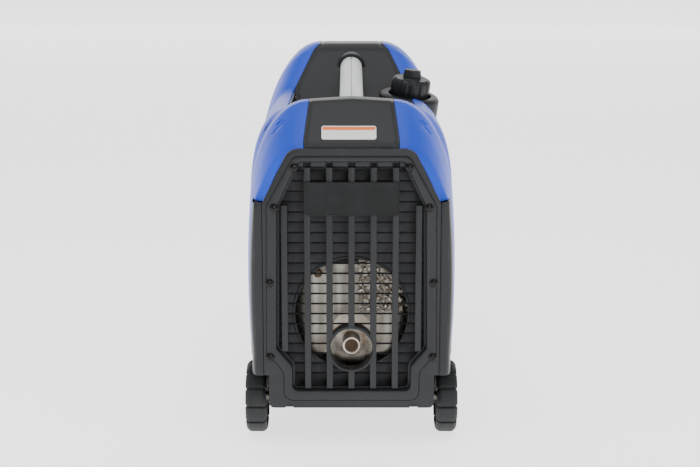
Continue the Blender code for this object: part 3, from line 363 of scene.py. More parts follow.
def pick(piece, test, kind="FACE"):           # selects faces by their middle, or edges by their ends
    only(piece)
    bpy.ops.object.mode_set(mode="EDIT")
    bpy.ops.mesh.select_mode(type=kind)
    bpy.ops.mesh.select_all(action="DESELECT")
    bpy.ops.object.mode_set(mode="OBJECT")
    mesh = piece.data
    if kind == "FACE":
        for face in mesh.polygons:
            face.select = test(face.center)
    else:
        for edge in mesh.edges:
            edge.select = test(*(mesh.vertices[i].co for i in edge.vertices))
    bpy.ops.object.mode_set(mode="EDIT")


def opened(piece):                            # the whole mesh selected in edit mode
    only(piece)
    bpy.ops.object.mode_set(mode="EDIT")
    bpy.ops.mesh.select_all(action="SELECT")


def applied(piece, kind, **settings):
    made = piece.modifiers.new(kind.title(), kind)
    for key, value in settings.items():
        setattr(made, key, value)
    only(piece)
    bpy.ops.object.modifier_apply(modifier=made.name)
    return piece


def softened(piece, width, segments=2, angle=30):
    return applied(piece, "BEVEL", width=width, segments=segments, limit_method="ANGLE",
                   angle_limit=math.radians(angle), harden_normals=False, use_clamp_overlap=True)


def block(name, low, high, bevel=0.0, segments=2):
    clearSelection()
    middle = (Vector(low) + Vector(high)) / 2
    bpy.ops.mesh.primitive_cube_add(size=1.0, location=middle, scale=Vector(high) - Vector(low))
    piece = named(name)
    bpy.ops.object.transform_apply(location=True, rotation=True, scale=True)
    return softened(piece, bevel, segments) if bevel else piece


def drawn(name, loops, closed=False):         # one loop of points drawn out through the next ones
    clearSelection()
    count = len(loops[0])
    bpy.ops.mesh.primitive_circle_add(vertices=count, radius=0.1)
    piece = named(name)
    mesh = piece.data
    for step, loop in enumerate(loops + [loops[0]] if closed else loops):
        if step:
            last = len(mesh.vertices) - count
            for i, point in enumerate(mesh.vertices):
                point.select = i >= last
            for edge in mesh.edges:
                edge.select = min(edge.vertices) >= last
            bpy.ops.object.mode_set(mode="EDIT")
            bpy.ops.mesh.select_mode(type="EDGE")
            bpy.ops.mesh.extrude_edges_move()
            bpy.ops.object.mode_set(mode="OBJECT")
        for point, place in zip(list(mesh.vertices)[-count:], loop):
            point.co = place
    for start in () if closed else (0, len(mesh.vertices) - count):      # close both ends
        end = set(range(start, start + count))
        bpy.ops.object.mode_set(mode="EDIT")
        bpy.ops.mesh.select_mode(type="EDGE")
        bpy.ops.mesh.select_all(action="DESELECT")
        bpy.ops.object.mode_set(mode="OBJECT")
        for edge in mesh.edges:
            edge.select = set(edge.vertices) <= end
        bpy.ops.object.mode_set(mode="EDIT")
        bpy.ops.mesh.edge_face_add()
        bpy.ops.object.mode_set(mode="OBJECT")
    tidied(piece)
    return piece


def tidied(piece):
    opened(piece)
    bpy.ops.mesh.remove_doubles(threshold=0.00001)
    bpy.ops.mesh.normals_make_consistent(inside=False)
    bpy.ops.object.mode_set(mode="OBJECT")


def ringOf(centre, along, radius, count, dent=None):
    along = Vector(along).normalized()
    side = along.cross(Vector((0, 0, 1)) if abs(along.z) < 0.9 else Vector((0, 1, 0))).normalized()
    up = side.cross(along)
    points = []
    for i in range(count):
        turn = math.tau * i / count
        reach = radius - (dent(i) if dent else 0.0)
        points.append(Vector(centre) + side * (math.cos(turn) * reach) + up * (math.sin(turn) * reach))
    return points


def turned(name, centre, along, profile, count=48, closed=False, dent=None, dentFrom=1.0):
    direction = Vector(along).normalized()
    loops = []
    for radius, reach in profile:             # dents only reach the rings wider than dentFrom
        place = Vector(centre) + direction * reach
        loops.append(ringOf(place, direction, radius, count, dent if radius > dentFrom else None))
    return drawn(name, loops, closed)


def drill(centre, along, radius, low, high, count):      # a round tool between two places on its axis
    return turned("drill", centre, along, [(radius, low), (radius, high)], count)


def rod(name, path, radii, count):            # a tube of varying radius drawn along a path
    loops = []
    for i, (centre, radius) in enumerate(zip(path, radii)):
        run = path[min(i + 1, len(path) - 1)] - path[max(0, i - 1)]
        loops.append(ringOf(centre, run, radius, count))
    return drawn(name, loops)


def joined(name, parts):
    clearSelection()
    for part in parts:
        part.select_set(True)
    bpy.context.view_layer.objects.active = parts[0]
    if len(parts) > 1:
        bpy.ops.object.join()
    return named(name)


def cut(piece, tools, **settings):
    for tool in tools:
        applied(piece, "BOOLEAN", operation="DIFFERENCE", solver="EXACT", object=tool, **settings)
        bpy.data.objects.remove(tool)


def copied(piece, name, move):
    only(piece)
    bpy.ops.object.duplicate()
    made = named(name)
    bpy.ops.transform.translate(value=move)
    bpy.ops.object.transform_apply(location=True, rotation=True, scale=True)
    return made


def settled(piece, finish, body, nodes=(), angle=35):
    only(piece)
    bpy.ops.object.transform_apply(location=True, rotation=True, scale=True)
    bpy.ops.object.shade_smooth_by_angle(angle=math.radians(angle))
    piece.data.materials.clear()
    piece.data.materials.append(finishes[finish])
    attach(piece, body)
    if nodes:
        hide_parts(*nodes)
    return piece


# Body shape: how the shoulder leaves the centre strip and runs down to the side

bodyShape = {
    "shoulderZ": 0.338, "hemZ": 0.130, "bulge": 0.0038, "hemOut": 0.0035, "wall": 0.003, "rounding": 0.0028,
    "cornerEnd": -0.240, "gap": 0.0003, "topLevel": 0.004,
    # along, edge x, edge z, lead, side x, rise, lean
    "keys": ((-0.275, 0.063, 0.409, 0.030, 0.118, 0.024, 0.014), (-0.262, 0.064, 0.417, 0.038, 0.130, 0.030, 0.015),
             (-0.232, 0.061, 0.441, 0.044, 0.135, 0.045, 0.010), (-0.200, 0.058, 0.4635, 0.050, 0.139, 0.055, 0.006),
             (-0.176, 0.058, 0.4645, 0.050, 0.141, 0.058, 0.004), (-0.164, 0.090, 0.450, 0.026, 0.142, 0.066, 0.001),
             (-0.116, 0.090, 0.450, 0.026, 0.144, 0.070, 0.0), (0.065, 0.090, 0.450, 0.026, 0.1442, 0.070, 0.0),
             (0.075, 0.0875, 0.455, 0.030, 0.1442, 0.072, 0.0), (0.130, 0.060, 0.5095, 0.045, 0.1442, 0.085, 0.0),
             (0.150, 0.050, 0.519, 0.055, 0.144, 0.085, 0.0), (0.210, 0.050, 0.519, 0.055, 0.143, 0.085, 0.0),
             (0.240, 0.054, 0.503, 0.052, 0.140, 0.078, 0.002), (0.270, 0.062, 0.464, 0.042, 0.134, 0.055, 0.004)),
}


def straightKey(y):
    keys = bodyShape["keys"]
    for one, two in zip(keys, keys[1:]):
        if y <= two[0]:
            part = max(0.0, (y - one[0]) / (two[0] - one[0]))
            return [a + (b - a) * part for a, b in zip(one, two)]
    return list(keys[-1])


def softKey(y):                               # the same, with its corners rounded along the length
    keys = bodyShape["keys"]
    reach = max(0.0, min(bodyShape["rounding"], y - keys[0][0], keys[-1][0] - y))
    rows = [straightKey(y + reach * step) for step in (-1.0, -0.5, 0.0, 0.5, 1.0)]
    return [sum(column) / 5 for column in zip(*rows)]


def sideOutline(y, s):                        # s: 0 at the centre strip, 1 at the shoulder's foot, 2 at the hem
    edgeX, edgeZ, lead, sideX, rise, lean = softKey(y)[1:]
    foot = Vector((sideX, bodyShape["shoulderZ"]))
    if s <= 1.0:
        a, d = Vector((edgeX, edgeZ)), foot
        b, c = Vector((edgeX + lead, edgeZ - 0.001)), foot + Vector((-lean, rise))
        r = 1.0 - s
        return a * r**3 + b * 3 * r * r * s + c * 3 * r * s * s + d * s**3
    t = s - 1.0
    x = foot.x + bodyShape["hemOut"] * t + 4 * bodyShape["bulge"] * t * (1 - t)
    return Vector((x, foot.y + (bodyShape["hemZ"] - foot.y) * t))


def sidePoint(y, s, side, inset=0.0):
    here = sideOutline(y, s)
    run = (sideOutline(y, min(2.0, s + 0.01)) - sideOutline(y, max(0.0, s - 0.01))).normalized()
    return Vector((side * (here.x + run.y * inset), y, here.y - run.x * inset))


def levelAt(z):
    return 1.0 + (bodyShape["shoulderZ"] - z) / (bodyShape["shoulderZ"] - bodyShape["hemZ"])


def stations(marks, pitch):
    places = [marks[0]]
    for low, high in zip(marks, marks[1:]):
        steps = max(1, round((high - low) / pitch))
        places += [low + (high - low) * i / steps for i in range(1, steps + 1)]
    return places


def sideSheet(name, side, ys, levels, leftOut=None):      # a grid laid on the body, given its wall
    clearSelection()
    bpy.ops.mesh.primitive_grid_add(x_subdivisions=len(ys) - 1, y_subdivisions=len(levels) - 1, size=1.0)
    sheet = named(name)
    across = len(ys)
    for i, point in enumerate(sheet.data.vertices):
        point.co = sidePoint(ys[i % across], levels[i // across], side)
    if leftOut:
        pick(sheet, leftOut)
        bpy.ops.mesh.delete(type="FACE")
        bpy.ops.object.mode_set(mode="OBJECT")
    tidied(sheet)
    outward = sum((face.normal.x * side + face.normal.z * 0.2) * face.area for face in sheet.data.polygons)
    if outward < 0:
        sheet.data.flip_normals()
    applied(sheet, "SOLIDIFY", thickness=bodyShape["wall"], offset=-1.0, use_even_offset=True)
    return sheet


# Side shells

sideShells = {
    "creases": (-0.262, -0.200, -0.176, 0.075, 0.130, 0.150, 0.210, 0.240), "crisp": 0.0010, "pitch": 0.0065,
    "levels": 30, "sideLevels": (1.25, 1.42, 1.6, 1.75), "edge": 0.0009,
    "coverY": (-0.130, 0.060), "coverZ": (0.155, 0.320),
    "slits": (((-0.2160, 0.46), (-0.2185, 0.25), 0.0030, 0.0016), ((-0.2125, 0.37), (-0.2135, 0.29), 0.0012, 0.0019)),
    "slitSteps": 14,
}
pullRecess = {"low": (0.120, 0.032, 0.215), "high": (0.1482, 0.124, 0.255), "proud": 0.004, "wall": 0.003,
              "corner": 0.006, "innerCorner": 0.0045, "ropeAt": (0.10, 0.078, 0.235), "ropeRadius": 0.007}


def makeSideShells(look):
    keys, cornerEnd, crisp = bodyShape["keys"], bodyShape["cornerEnd"], look["crisp"]
    (rearEnd, frontEnd), (low, high) = look["coverY"], look["coverZ"]
    creases = [y + step for y in look["creases"] for step in (-crisp, 0.0, crisp)]
    marks = sorted({keys[0][0] + bodyShape["gap"], cornerEnd, *creases, rearEnd, frontEnd, keys[-1][0]})
    ys = stations(marks, look["pitch"])
    shoulder = [bodyShape["topLevel"]] + [i / look["levels"] for i in range(1, look["levels"] + 1)]
    side = [levelAt(high), *look["sideLevels"], levelAt(low), 2.0]

    def besideFrame(centre):
        return centre.y < cornerEnd and centre.z < bodyShape["shoulderZ"]

    def besideCover(centre):
        return besideFrame(centre) or (rearEnd < centre.y < frontEnd and low < centre.z < high)

    for way, name, node, leftOut in ((-1, "sideShellLeft", "side_shell_left", besideCover),
                                     (1, "sideShellRight", "side_shell_right", besideFrame)):
        shell = sideSheet(name, way, ys, shoulder + side, leftOut)
        if way > 0:
            cut(shell, [fillerTool()])
            openPullRecess(shell, name, pullRecess)
        markShoulder(shell, way, look)
        softened(shell, look["edge"], 2, 50)
        settled(shell, "blue", "chassis", [node])


def fillerTool():                             # clears the way for the bezel
    return drill(fillerAt(0, 0, 0), fillerAxis, filler["bezel"] + bodyShape["gap"], -0.060, 0.060, 64)


def openPullRecess(shell, name, look):        # a pocket for the starter grip, with a hole for its rope
    low, high, wall = Vector(look["low"]), Vector(look["high"]), look["wall"]
    cut(shell, [block("recessTool", low, high + Vector((look["proud"], 0, 0)), look["corner"], 4)])
    cup = block("recessCup", low, high, look["corner"], 4)
    inner = low + Vector((wall, wall, wall)), high + Vector((0.02, -wall, -wall))
    cut(cup, [block("cupTool", *inner, look["innerCorner"], 4)])
    cut(cup, [drill(look["ropeAt"], (1, 0, 0), look["ropeRadius"], 0, 0.03, 32)])
    joined(name, [shell, cup])


def markShoulder(shell, way, look):           # two curved slits behind the corner
    for start, end, bow, radius in look["slits"]:
        path, radii = [], []
        for i in range(look["slitSteps"] + 1):
            t = i / look["slitSteps"]
            y = start[0] + (end[0] - start[0]) * t - bow * math.sin(math.pi * t)
            path.append(sidePoint(y, start[1] + (end[1] - start[1]) * t, way, 0.0002))
            radii.append(radius * (0.35 + 0.65 * math.sin(math.pi * t)))
        cut(shell, [rod("slitTool", path, radii, 12)])


shoulderPatch = {"top": ((-0.170, 0.487), (-0.174, 0.410)), "foot": (-0.172, 0.53), "sunk": 0.00022, "thick": 0.0003}


def makeShoulderPatch(look):                  # a small dark wedge set into the left shoulder
    clearSelection()
    bpy.ops.mesh.primitive_grid_add(x_subdivisions=16, y_subdivisions=16, size=1.0)
    wedge = named("shoulderPatch")
    left, right = (Vector(end) for end in look["top"])
    for point in wedge.data.vertices:
        u, w = point.co.x + 0.5, point.co.y + 0.5
        place = (left + (right - left) * u).lerp(Vector(look["foot"]), w * 0.97)
        point.co = sidePoint(place.x, place.y, -1, -look["sunk"])
    applied(wedge, "SOLIDIFY", thickness=look["thick"], offset=0.0)
    tidied(wedge)
    settled(wedge, "panel", "chassis")


# Service cover

serviceCover = {"pitch": 0.012, "rows": 12, "inset": 0.003, "edge": 0.0008, "fingerEdge": 0.003,
                "finger": ((-0.160, -0.055, 0.300), (-0.1465, -0.015, 0.309))}


def makeServiceCover(look):
    gap, inset, rows = bodyShape["gap"] * 2, look["inset"], look["rows"]
    ys = stations([sideShells["coverY"][0] + gap, sideShells["coverY"][1] - gap], look["pitch"])
    foot, top = (levelAt(z) for z in sideShells["coverZ"])
    levels = [top + inset + i * (foot - top - 2 * inset) / rows for i in range(rows + 1)]
    cover = sideSheet("serviceCover", -1, ys, levels)
    cut(cover, [block("gripTool", *look["finger"], look["fingerEdge"], 3)])
    softened(cover, look["edge"], 2, 50)
    settled(cover, "blue", "side_door", ["service_cover"])


# Pillar covers and recess floor

pillarCovers = {
    "steps": 44, "crown": 0.0038, "crownFrom": -0.268, "crownRun": 0.06, "groove": 0.0011, "grooveIn": 0.0038,
    "edge": 0.0007, "tubeGap": 0.0006, "tubeReach": (-0.010, 0.340), "rearPitch": 0.005, "frontPitch": 0.006,
    # rows of along, height, half width; between them the edge of the side shells is followed
    "rearFoot": ((-0.2747, 0.4093, 0.0625), (-0.2725, 0.4120, 0.0623)),
    "rearMarks": (-0.268, -0.2625, -0.2615, -0.2325, -0.2315, -0.2010, -0.1990, -0.180),
    "rearWall": ((-0.175, 0.4643, 0.0568), (-0.1685, 0.4590, 0.0640), (-0.1632, 0.4525, 0.0715),
                 (-0.1610, 0.4480, 0.0760), (-0.1605, 0.407, 0.0845)),
    "frontWall": ((0.032, 0.4078, 0.0862), (0.0535, 0.4305, 0.0862), (0.0648, 0.4430, 0.0862),
                  (0.0656, 0.4438, 0.0892), (0.0752, 0.4546, 0.0870)),
    "frontMarks": (0.080, 0.1290, 0.1310, 0.1490, 0.1510, 0.2090, 0.2110, 0.2390, 0.2410, 0.2697),
}


def coverLoops(look, path, crown):            # sections across the strip, roofed by crown, grooved near the edges
    wall, count = bodyShape["wall"], look["steps"]
    loops = []
    for i, (y, z, half) in enumerate(path):
        before, after = path[max(0, i - 1)], path[min(len(path) - 1, i + 1)]
        run = Vector((after[0] - before[0], after[1] - before[1])).normalized()
        out = Vector((0, -run.y, run.x))
        rise = crown * max(0.0, min(1.0, (y - look["crownFrom"]) / look["crownRun"]))
        outer, inner = [], []
        for k in range(count + 1):
            share = 2 * k / count - 1
            lift = rise * (1 - max(0.02, abs(share)))
            if abs(half * (1 - abs(share)) - look["grooveIn"]) < half / count * 0.9:
                lift -= look["groove"]
            outer.append(Vector((share * half, y, z)) + out * lift)
            inner.append(Vector((share * half, y, z)) - out * wall)
        loops.append(outer + inner[::-1])
    return loops


def edgePath(ys):
    edges = [sideOutline(y, bodyShape["topLevel"]) for y in ys]
    return [(y, edge.y, edge.x - bodyShape["gap"]) for y, edge in zip(ys, edges)]


def makePillarCovers(look):
    rear = [*look["rearFoot"], *edgePath(stations(look["rearMarks"], look["rearPitch"])), *look["rearWall"]]
    front = [*look["frontWall"], *edgePath(stations(look["frontMarks"], look["frontPitch"]))]
    for name, node, path, crown in (("rearPillarCover", "rear_pillar_cover", rear, look["crown"]),
                                    ("frontPillarCover", "front_pillar_cover", front, 0.0)):
        cover = drawn(name, coverLoops(look, path, crown))
        tube = drill(handle["start"], handleRun(), handle["radius"] + look["tubeGap"], *look["tubeReach"], 64)
        cut(cover, [tube, fillerTool()])
        softened(cover, look["edge"], 2, 38)
        settled(cover, "black", "chassis", [node], 30)


handleBoss = {"outer": 0.0222, "along": 0.300, "gap": 0.0005, "depth": 0.012, "edge": 0.0004}


def makeBosses(look):                         # a ring that closes the front cover round the handle
    run, tube, outer, depth = handleRun(), handle["radius"] + look["gap"], look["outer"], look["depth"]
    profile = [(outer, -0.0035), (outer - 0.0010, -0.0050), (tube + 0.0020, -0.0050), (tube, -0.0040), (tube, depth),
               (outer, depth)]
    ring = turned("handleBoss", Vector(handle["start"]) + run * look["along"], run, profile, 64, True)
    softened(ring, look["edge"], 2, 30)
    settled(ring, "black", "chassis")


recess = {"half": 0.0897, "floor": 0.405, "rim": 0.449, "from": -0.1595, "to": 0.065, "wall": 0.003, "past": 0.01,
          "fillet": 0.006, "edge": 0.0006}


def makeRecess(look):
    half, floor, rim, past, wall = (look[key] for key in ("half", "floor", "rim", "past", "wall"))
    tub = block("recessFloor", (-half, look["from"], floor - wall), (half, look["to"], rim))
    tool = block("tubTool", (wall - half, look["from"] - past, floor), (half - wall, look["to"] + past, rim + past))
    pick(tool, lambda a, b: abs(a.y - b.y) > 0.05 and a.z < floor + 0.001, "EDGE")
    bpy.ops.mesh.bevel(offset=look["fillet"], segments=5, affect="EDGES")
    bpy.ops.object.mode_set(mode="OBJECT")
    cut(tub, [tool, fillerTool()])
    softened(tub, look["edge"], 2, 50)
    settled(tub, "black", "chassis", ["tank_deck"])


# Handle

handle = {"start": (0.0, -0.188, 0.447), "end": (0.0, 0.137, 0.4875), "radius": 0.017, "wall": 0.004,
          "seam": 0.0015, "seamReach": 0.0026, "halfGap": 0.00015, "steps": 36, "rows": 8}


def handleRun():
    return (Vector(handle["end"]) - Vector(handle["start"])).normalized()


def makeHandle(look):                         # two halves with rolled seam edges
    run = handleRun()
    up = Vector((0, -run.z, run.y))
    start, end, radius, rows = Vector(look["start"]), Vector(look["end"]), look["radius"], look["rows"]
    turns = [math.pi * i / look["steps"] for i in range(look["steps"] + 1)]
    dips = [max(0.0, 1 - min(turn, math.pi - turn) * radius / look["seamReach"]) ** 2 for turn in turns]
    around = [(turn, radius - look["seam"] * dip) for turn, dip in zip(turns, dips)]
    around += [(turn, radius - look["wall"]) for turn in reversed(turns)]
    section = [(max(look["halfGap"], math.sin(turn) * reach), math.cos(turn) * reach) for turn, reach in around]
    for way, name, node in ((-1, "handleGripLeft", "handle_grip_left"), (1, "handleGripRight", "handle_grip_right")):
        loops = [[start.lerp(end, step / rows) + Vector((way * x, 0, 0)) + up * z for x, z in section]
                 for step in range(rows + 1)]
        settled(drawn(name, loops), "grip", "chassis", [node], 50)


# Rear frame with its raised bead

rearFrame = {
    "face": -0.2825, "crest": -0.285, "back": -0.2745, "toolFrom": -0.30, "steps": 7,
    "groove": 0.0011, "grooveDeep": 0.0012, "foot": 0.0004, "beadHigh": 0.0021, "lip": 0.0024, "lipIn": 0.0022,
    "border": ((0.083, 0.409, 0.020), (0.119, 0.336, 0.004), (0.119, 0.0985, 0.0008), (0.1126, 0.0985, 0.0008),
               (0.1126, 0.052, 0.008)),
    "bead": ((0.077, 0.399, 0.012), (0.1125, 0.334, 0.012), (0.1145, 0.131, 0.008), (0.0915, 0.104, 0.014),
             (0.0915, 0.064, 0.012)),
    "opening": ((0.0705, 0.3925, 0.006), (0.099, 0.333, 0.010), (0.1015, 0.137, 0.006), (0.080, 0.112, 0.012),
                (0.080, 0.0775, 0.008)),
    "notchAt": (0.085, 0.0528), "notchRadius": 0.0056, "notchDeep": 0.0225, "screwHole": 0.0026,
}


def roundedOutline(half, steps):              # a right-hand half, mirrored, with each corner rounded
    corners = list(half) + [(-x, z, r) for x, z, r in reversed(half)]
    points = []
    for i, (x, z, radius) in enumerate(corners):
        here = Vector((x, z))
        before = (Vector(corners[i - 1][:2]) - here).normalized()
        after = (Vector(corners[(i + 1) % len(corners)][:2]) - here).normalized()
        halfAngle = before.angle(after) / 2
        centre = here + (before + after).normalized() * radius / math.sin(halfAngle)
        start = here + before * radius / math.tan(halfAngle) - centre
        end = here + after * radius / math.tan(halfAngle) - centre
        sweep = math.atan2(start.cross(end), start.dot(end))
        points += [centre + Matrix.Rotation(sweep * k / steps, 2) @ start for k in range(steps + 1)]
    return points


def offsetOutline(points, distance):
    count = len(points)
    moved = []
    for i, point in enumerate(points):
        run = (points[(i + 1) % count] - points[i - 1]).normalized()
        moved.append(point + Vector((-run.y, run.x)) * distance)
    return moved


def standing(points, y):
    return [Vector((p.x, y, p.y)) for p in points]


def makeRearFrame(look):
    border, bead, opening = (roundedOutline(look[part], look["steps"]) for part in ("border", "bead", "opening"))
    face, high, groove = look["face"], look["beadHigh"], look["groove"]
    floor, foot = face + look["grooveDeep"], face - look["foot"]
    rows = [(border, 0.0, look["back"]), (border, 0.0, face + 0.001), (border, -0.0003, face + 0.0003),
            (border, -0.001, face), (bead, groove, face), (bead, groove, floor), (bead, 0.0, floor), (bead, 0.0, foot)]
    for turn in (25, 50, 75, 90):             # round the bead over, outer side then inner
        angle = math.radians(turn)
        rows.append((bead, -high * (1 - math.cos(angle)), foot - high * math.sin(angle)))
    for turn in (90, 70, 45, 20, 0):
        angle = math.radians(turn)
        rows.append((opening, look["lip"] - look["lipIn"] * math.cos(angle), foot - high * math.sin(angle)))
    rows += [(opening, 0.0, face + 0.001), (opening, 0.0, look["back"])]
    piece = drawn("rearFrame", [standing(offsetOutline(outline, grow), y) for outline, grow, y in rows], True)
    tools = [drill((x, look["crest"] - 0.01, z), (0, 1, 0), look["screwHole"], 0, 0.03, 24) for x, z in screwPlaces()]
    x, z = look["notchAt"]
    tools += [drill((side * x, look["toolFrom"], z), (0, 1, 0), look["notchRadius"], 0, look["notchDeep"], 32)
              for side in (-1, 1)]
    cut(piece, tools)
    settled(piece, "black", "chassis", ["rear_frame"], 30)


rearScrews = {"count": 8, "head": 0.0058, "dome": 0.0032, "shank": 0.0021, "sunk": 0.0003, "cross": 0.0030,
              "crossWide": 0.0011, "crossFrom": 0.004, "crossTo": 0.0014}


def screwPlaces():
    boxes = [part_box("rear_screw_%d" % number) for number in range(1, rearScrews["count"] + 1)]
    return [((low.x + high.x) / 2, (low.z + high.z) / 2) for low, high in boxes]


def makeRearScrews(look):                     # one domed head with a cross recess, copied to each place
    head, shank, sunk, crest = look["head"], look["shank"], look["sunk"], rearFrame["crest"]
    profile = [(shank, 0.0095), (shank, -sunk), (head, -sunk), (head, -0.0009), (head * 0.93, -0.0017),
               (head * 0.78, -0.0024), (head * 0.55, -0.0029), (head * 0.30, -look["dome"])]
    screw = turned("screwModel", (0, crest, 0), (0, 1, 0), profile, 40)
    near, far = crest - look["crossFrom"], crest - look["crossTo"]
    long, wide = look["cross"], look["crossWide"] / 2
    cut(screw, [block("slotTool", (-x, near, -z), (x, far, z)) for x, z in ((long, wide), (wide, long))])
    for number, (x, z) in enumerate(screwPlaces(), 1):
        made = copied(screw, "rearScrew%d" % number, (x, 0, z))
        settled(made, "screw", "chassis", ["rear_screw_%d" % number], 30)
    bpy.data.objects.remove(screw)


# Grille: bars, cross ribs, flange and outlet collar

grille = {
    "bars": (0.0, 0.0295, 0.059), "sideBar": 0.090, "wide": 0.0086, "front": -0.2812, "back": -0.2702, "edge": 0.0008,
    "low": 0.079, "high": 0.3845, "sideLow": 0.132, "sideHigh": 0.3335, "flange": (0.006, -0.003),
    "ribPitch": 0.014, "ribHigh": 0.0021, "ribFirst": 0.379, "ribLast": 0.0915, "ribDepth": (-0.2740, -0.2712),
    "ribIn": 0.0015, "ribEdge": 0.0006, "ribBite": 0.0004,
    "ringZ": 0.135, "ringOuter": 0.0325, "ringInner": 0.0288, "ringBack": -0.261, "barBite": 0.0006,
    "fascia": (0.3853, 0.3935), "fasciaFront": -0.2782, "fasciaGap": 0.0003,
}


def halfWidthAt(outline, z):
    reach = 0.0
    for one, two in zip(outline, outline[1:] + outline[:1]):
        if min(one.y, two.y) <= z <= max(one.y, two.y) and one.y != two.y:
            reach = max(reach, abs(one.x + (two.x - one.x) * (z - one.y) / (two.y - one.y)))
    return reach


def ringTool(look, bite):                     # clears the bars and ribs out of the outlet collar
    return drill((0, rearFrame["toolFrom"], look["ringZ"]), (0, 1, 0), look["ringOuter"] - bite, 0, 0.06, 96)


def makeRibs(look, opening):                  # the thin cross ribs sit deeper, and their black is darker than the bars' to paint the shade they lie in
    (front, back), high = look["ribDepth"], look["ribHigh"] / 2
    ribs = []
    z = look["ribFirst"]
    while z > look["ribLast"]:
        reach = halfWidthAt(opening, z) + look["ribIn"]
        ribs.append(block("rib", (-reach, front, z - high), (reach, back, z + high), look["ribEdge"], 2))
        z -= look["ribPitch"]
    piece = joined("grilleRibs", ribs)
    cut(piece, [ringTool(look, look["ribBite"])])
    # the darker black on the ribs is painted shade
    settled(piece, "deep", "chassis")


def makeGrille(look):
    opening = roundedOutline(rearFrame["opening"], rearFrame["steps"])
    outer, inner = (offsetOutline(opening, grow) for grow in look["flange"])
    front, back = rearFrame["back"] + 0.0003, look["back"] + 0.0005
    flange = drawn("grilleFlange", [standing(outer, front), standing(inner, front), standing(inner, back),
                                    standing(outer, back)], True)
    half, edge = look["wide"] / 2, look["edge"]
    bar = block("barModel", (-half, look["front"], look["low"]), (half, look["back"], look["high"]), edge, 3)
    parts = [flange]
    middles = [side * x for x in look["bars"] for side in ((1, -1) if x else (1,))]
    parts += [copied(bar, "bar", (x, 0, 0)) for x in middles]
    bpy.data.objects.remove(bar)
    for x in (-look["sideBar"], look["sideBar"]):
        parts.append(block("sideBar", (x - half, look["front"], look["sideLow"]),
                           (x + half, look["back"], look["sideHigh"]), edge, 3))
    makeRibs(look, opening)
    low, high = look["fascia"]
    reach, beside = halfWidthAt(opening, low) + 0.001, half + look["fasciaGap"]
    edges = [-reach, *(side for x in sorted(middles) for side in (x - beside, x + beside)), reach]
    for left, right in zip(edges[::2], edges[1::2]):
        parts.append(block("fascia", (left, look["fasciaFront"], low), (right, look["back"], high), edge, 2))
    lattice = joined("lattice", parts)
    cut(lattice, [ringTool(look, look["barBite"])], use_self=True)
    start, end, outerR, innerR = look["front"] - 0.0004, look["ringBack"], look["ringOuter"], look["ringInner"]
    profile = [(innerR + 0.0008, start), (outerR - 0.0009, start), (outerR, start + 0.0009), (outerR, end),
               (innerR, end), (innerR, start + 0.0008)]
    ring = turned("collar", (0, 0, look["ringZ"]), (0, 1, 0), profile, 96, True)
    settled(joined("rearGrille", [lattice, ring]), "black", "chassis", ["rear_grille"], 32)


grillePlate = {"rim": 0.0016, "dish": 0.0004, "corner": 0.0040}


def makeGrillePlate(look):                    # a plain plate with a slightly dished face
    low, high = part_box("grille_plate")
    outline = roundedOutline(((high.x, high.z, look["corner"]), (high.x, low.z, look["corner"])), 5)
    rim, face = look["rim"], low.y
    steps = ((0.0, high.y), (0.0, face + 0.0006), (-0.0002, face + 0.0002), (-0.0006, face), (-rim, face),
             (-rim - 0.0005, face + look["dish"]))
    plate = drawn("grillePlate", [standing(offsetOutline(outline, grow), y) for grow, y in steps])
    settled(plate, "plate", "chassis", ["grille_plate"])


# Silencer behind the window, its shield, outlet and spark screen

silencer = {"cuts": 41, "straight": 0.62, "pullFrom": 0.55, "round": 0.012, "swage": 0.0016, "swagePitch": 0.036,
            "seamZ": 0.110, "seamHalf": 0.004, "seamDeep": 0.0018, "padRadius": 0.034, "padDish": 0.0022,
            "bore": 0.0123}


def makeSilencer(look):
    low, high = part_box("muffler")
    can = block("silencer", low, high)
    opened(can)
    bpy.ops.mesh.subdivide(number_cuts=look["cuts"])
    bpy.ops.object.mode_set(mode="OBJECT")
    middle, size = (low + high) / 2, (high - low) / 2
    straight, outletZ = look["straight"], grille["ringZ"]
    for point in can.data.vertices:           # squash the box towards a barrel and press swages in it
        place = point.co - middle
        u, v, w = place.x / size.x, place.y / size.y, place.z / size.z
        past = math.hypot(max(0.0, abs(u) - straight), max(0.0, abs(w) - straight)) / (1 - straight)
        if past > 1:
            place.x -= math.copysign((abs(u) - straight) * (1 - 1 / past) * size.x, u)
            place.z -= math.copysign((abs(w) - straight) * (1 - 1 / past) * size.z, w)
        if v < -0.5:
            edge = min(1.0, max(0.0, (max(abs(u), abs(w)) - look["pullFrom"]) / (1 - look["pullFrom"])))
            wave = 0.5 + 0.5 * math.cos(place.x * math.tau / look["swagePitch"])
            place.y += look["round"] * edge ** 3 + look["swage"] * wave * (1 - edge)
            if abs(point.co.z - look["seamZ"]) < look["seamHalf"]:
                place.y += look["seamDeep"]
            near = math.hypot(place.x, point.co.z - outletZ) / look["padRadius"]
            if near < 1:
                place.y = look["padDish"] * near ** 2 - size.y
        point.co = middle + place
    cut(can, [drill((0, low.y - 0.01, outletZ), (0, 1, 0), look["bore"], 0, 0.04, 48)])
    settled(can, "steel", "chassis", ["muffler"], 60)


innerPanel = {"radius": 0.077, "centreZ": 0.1775, "lip": 0.0016, "lipWide": 0.004, "front": -0.252, "back": -0.249,
              "topHalf": 0.0890, "slope": 0.050, "corner": 0.010, "footCorner": 0.006, "edge": 0.0003}


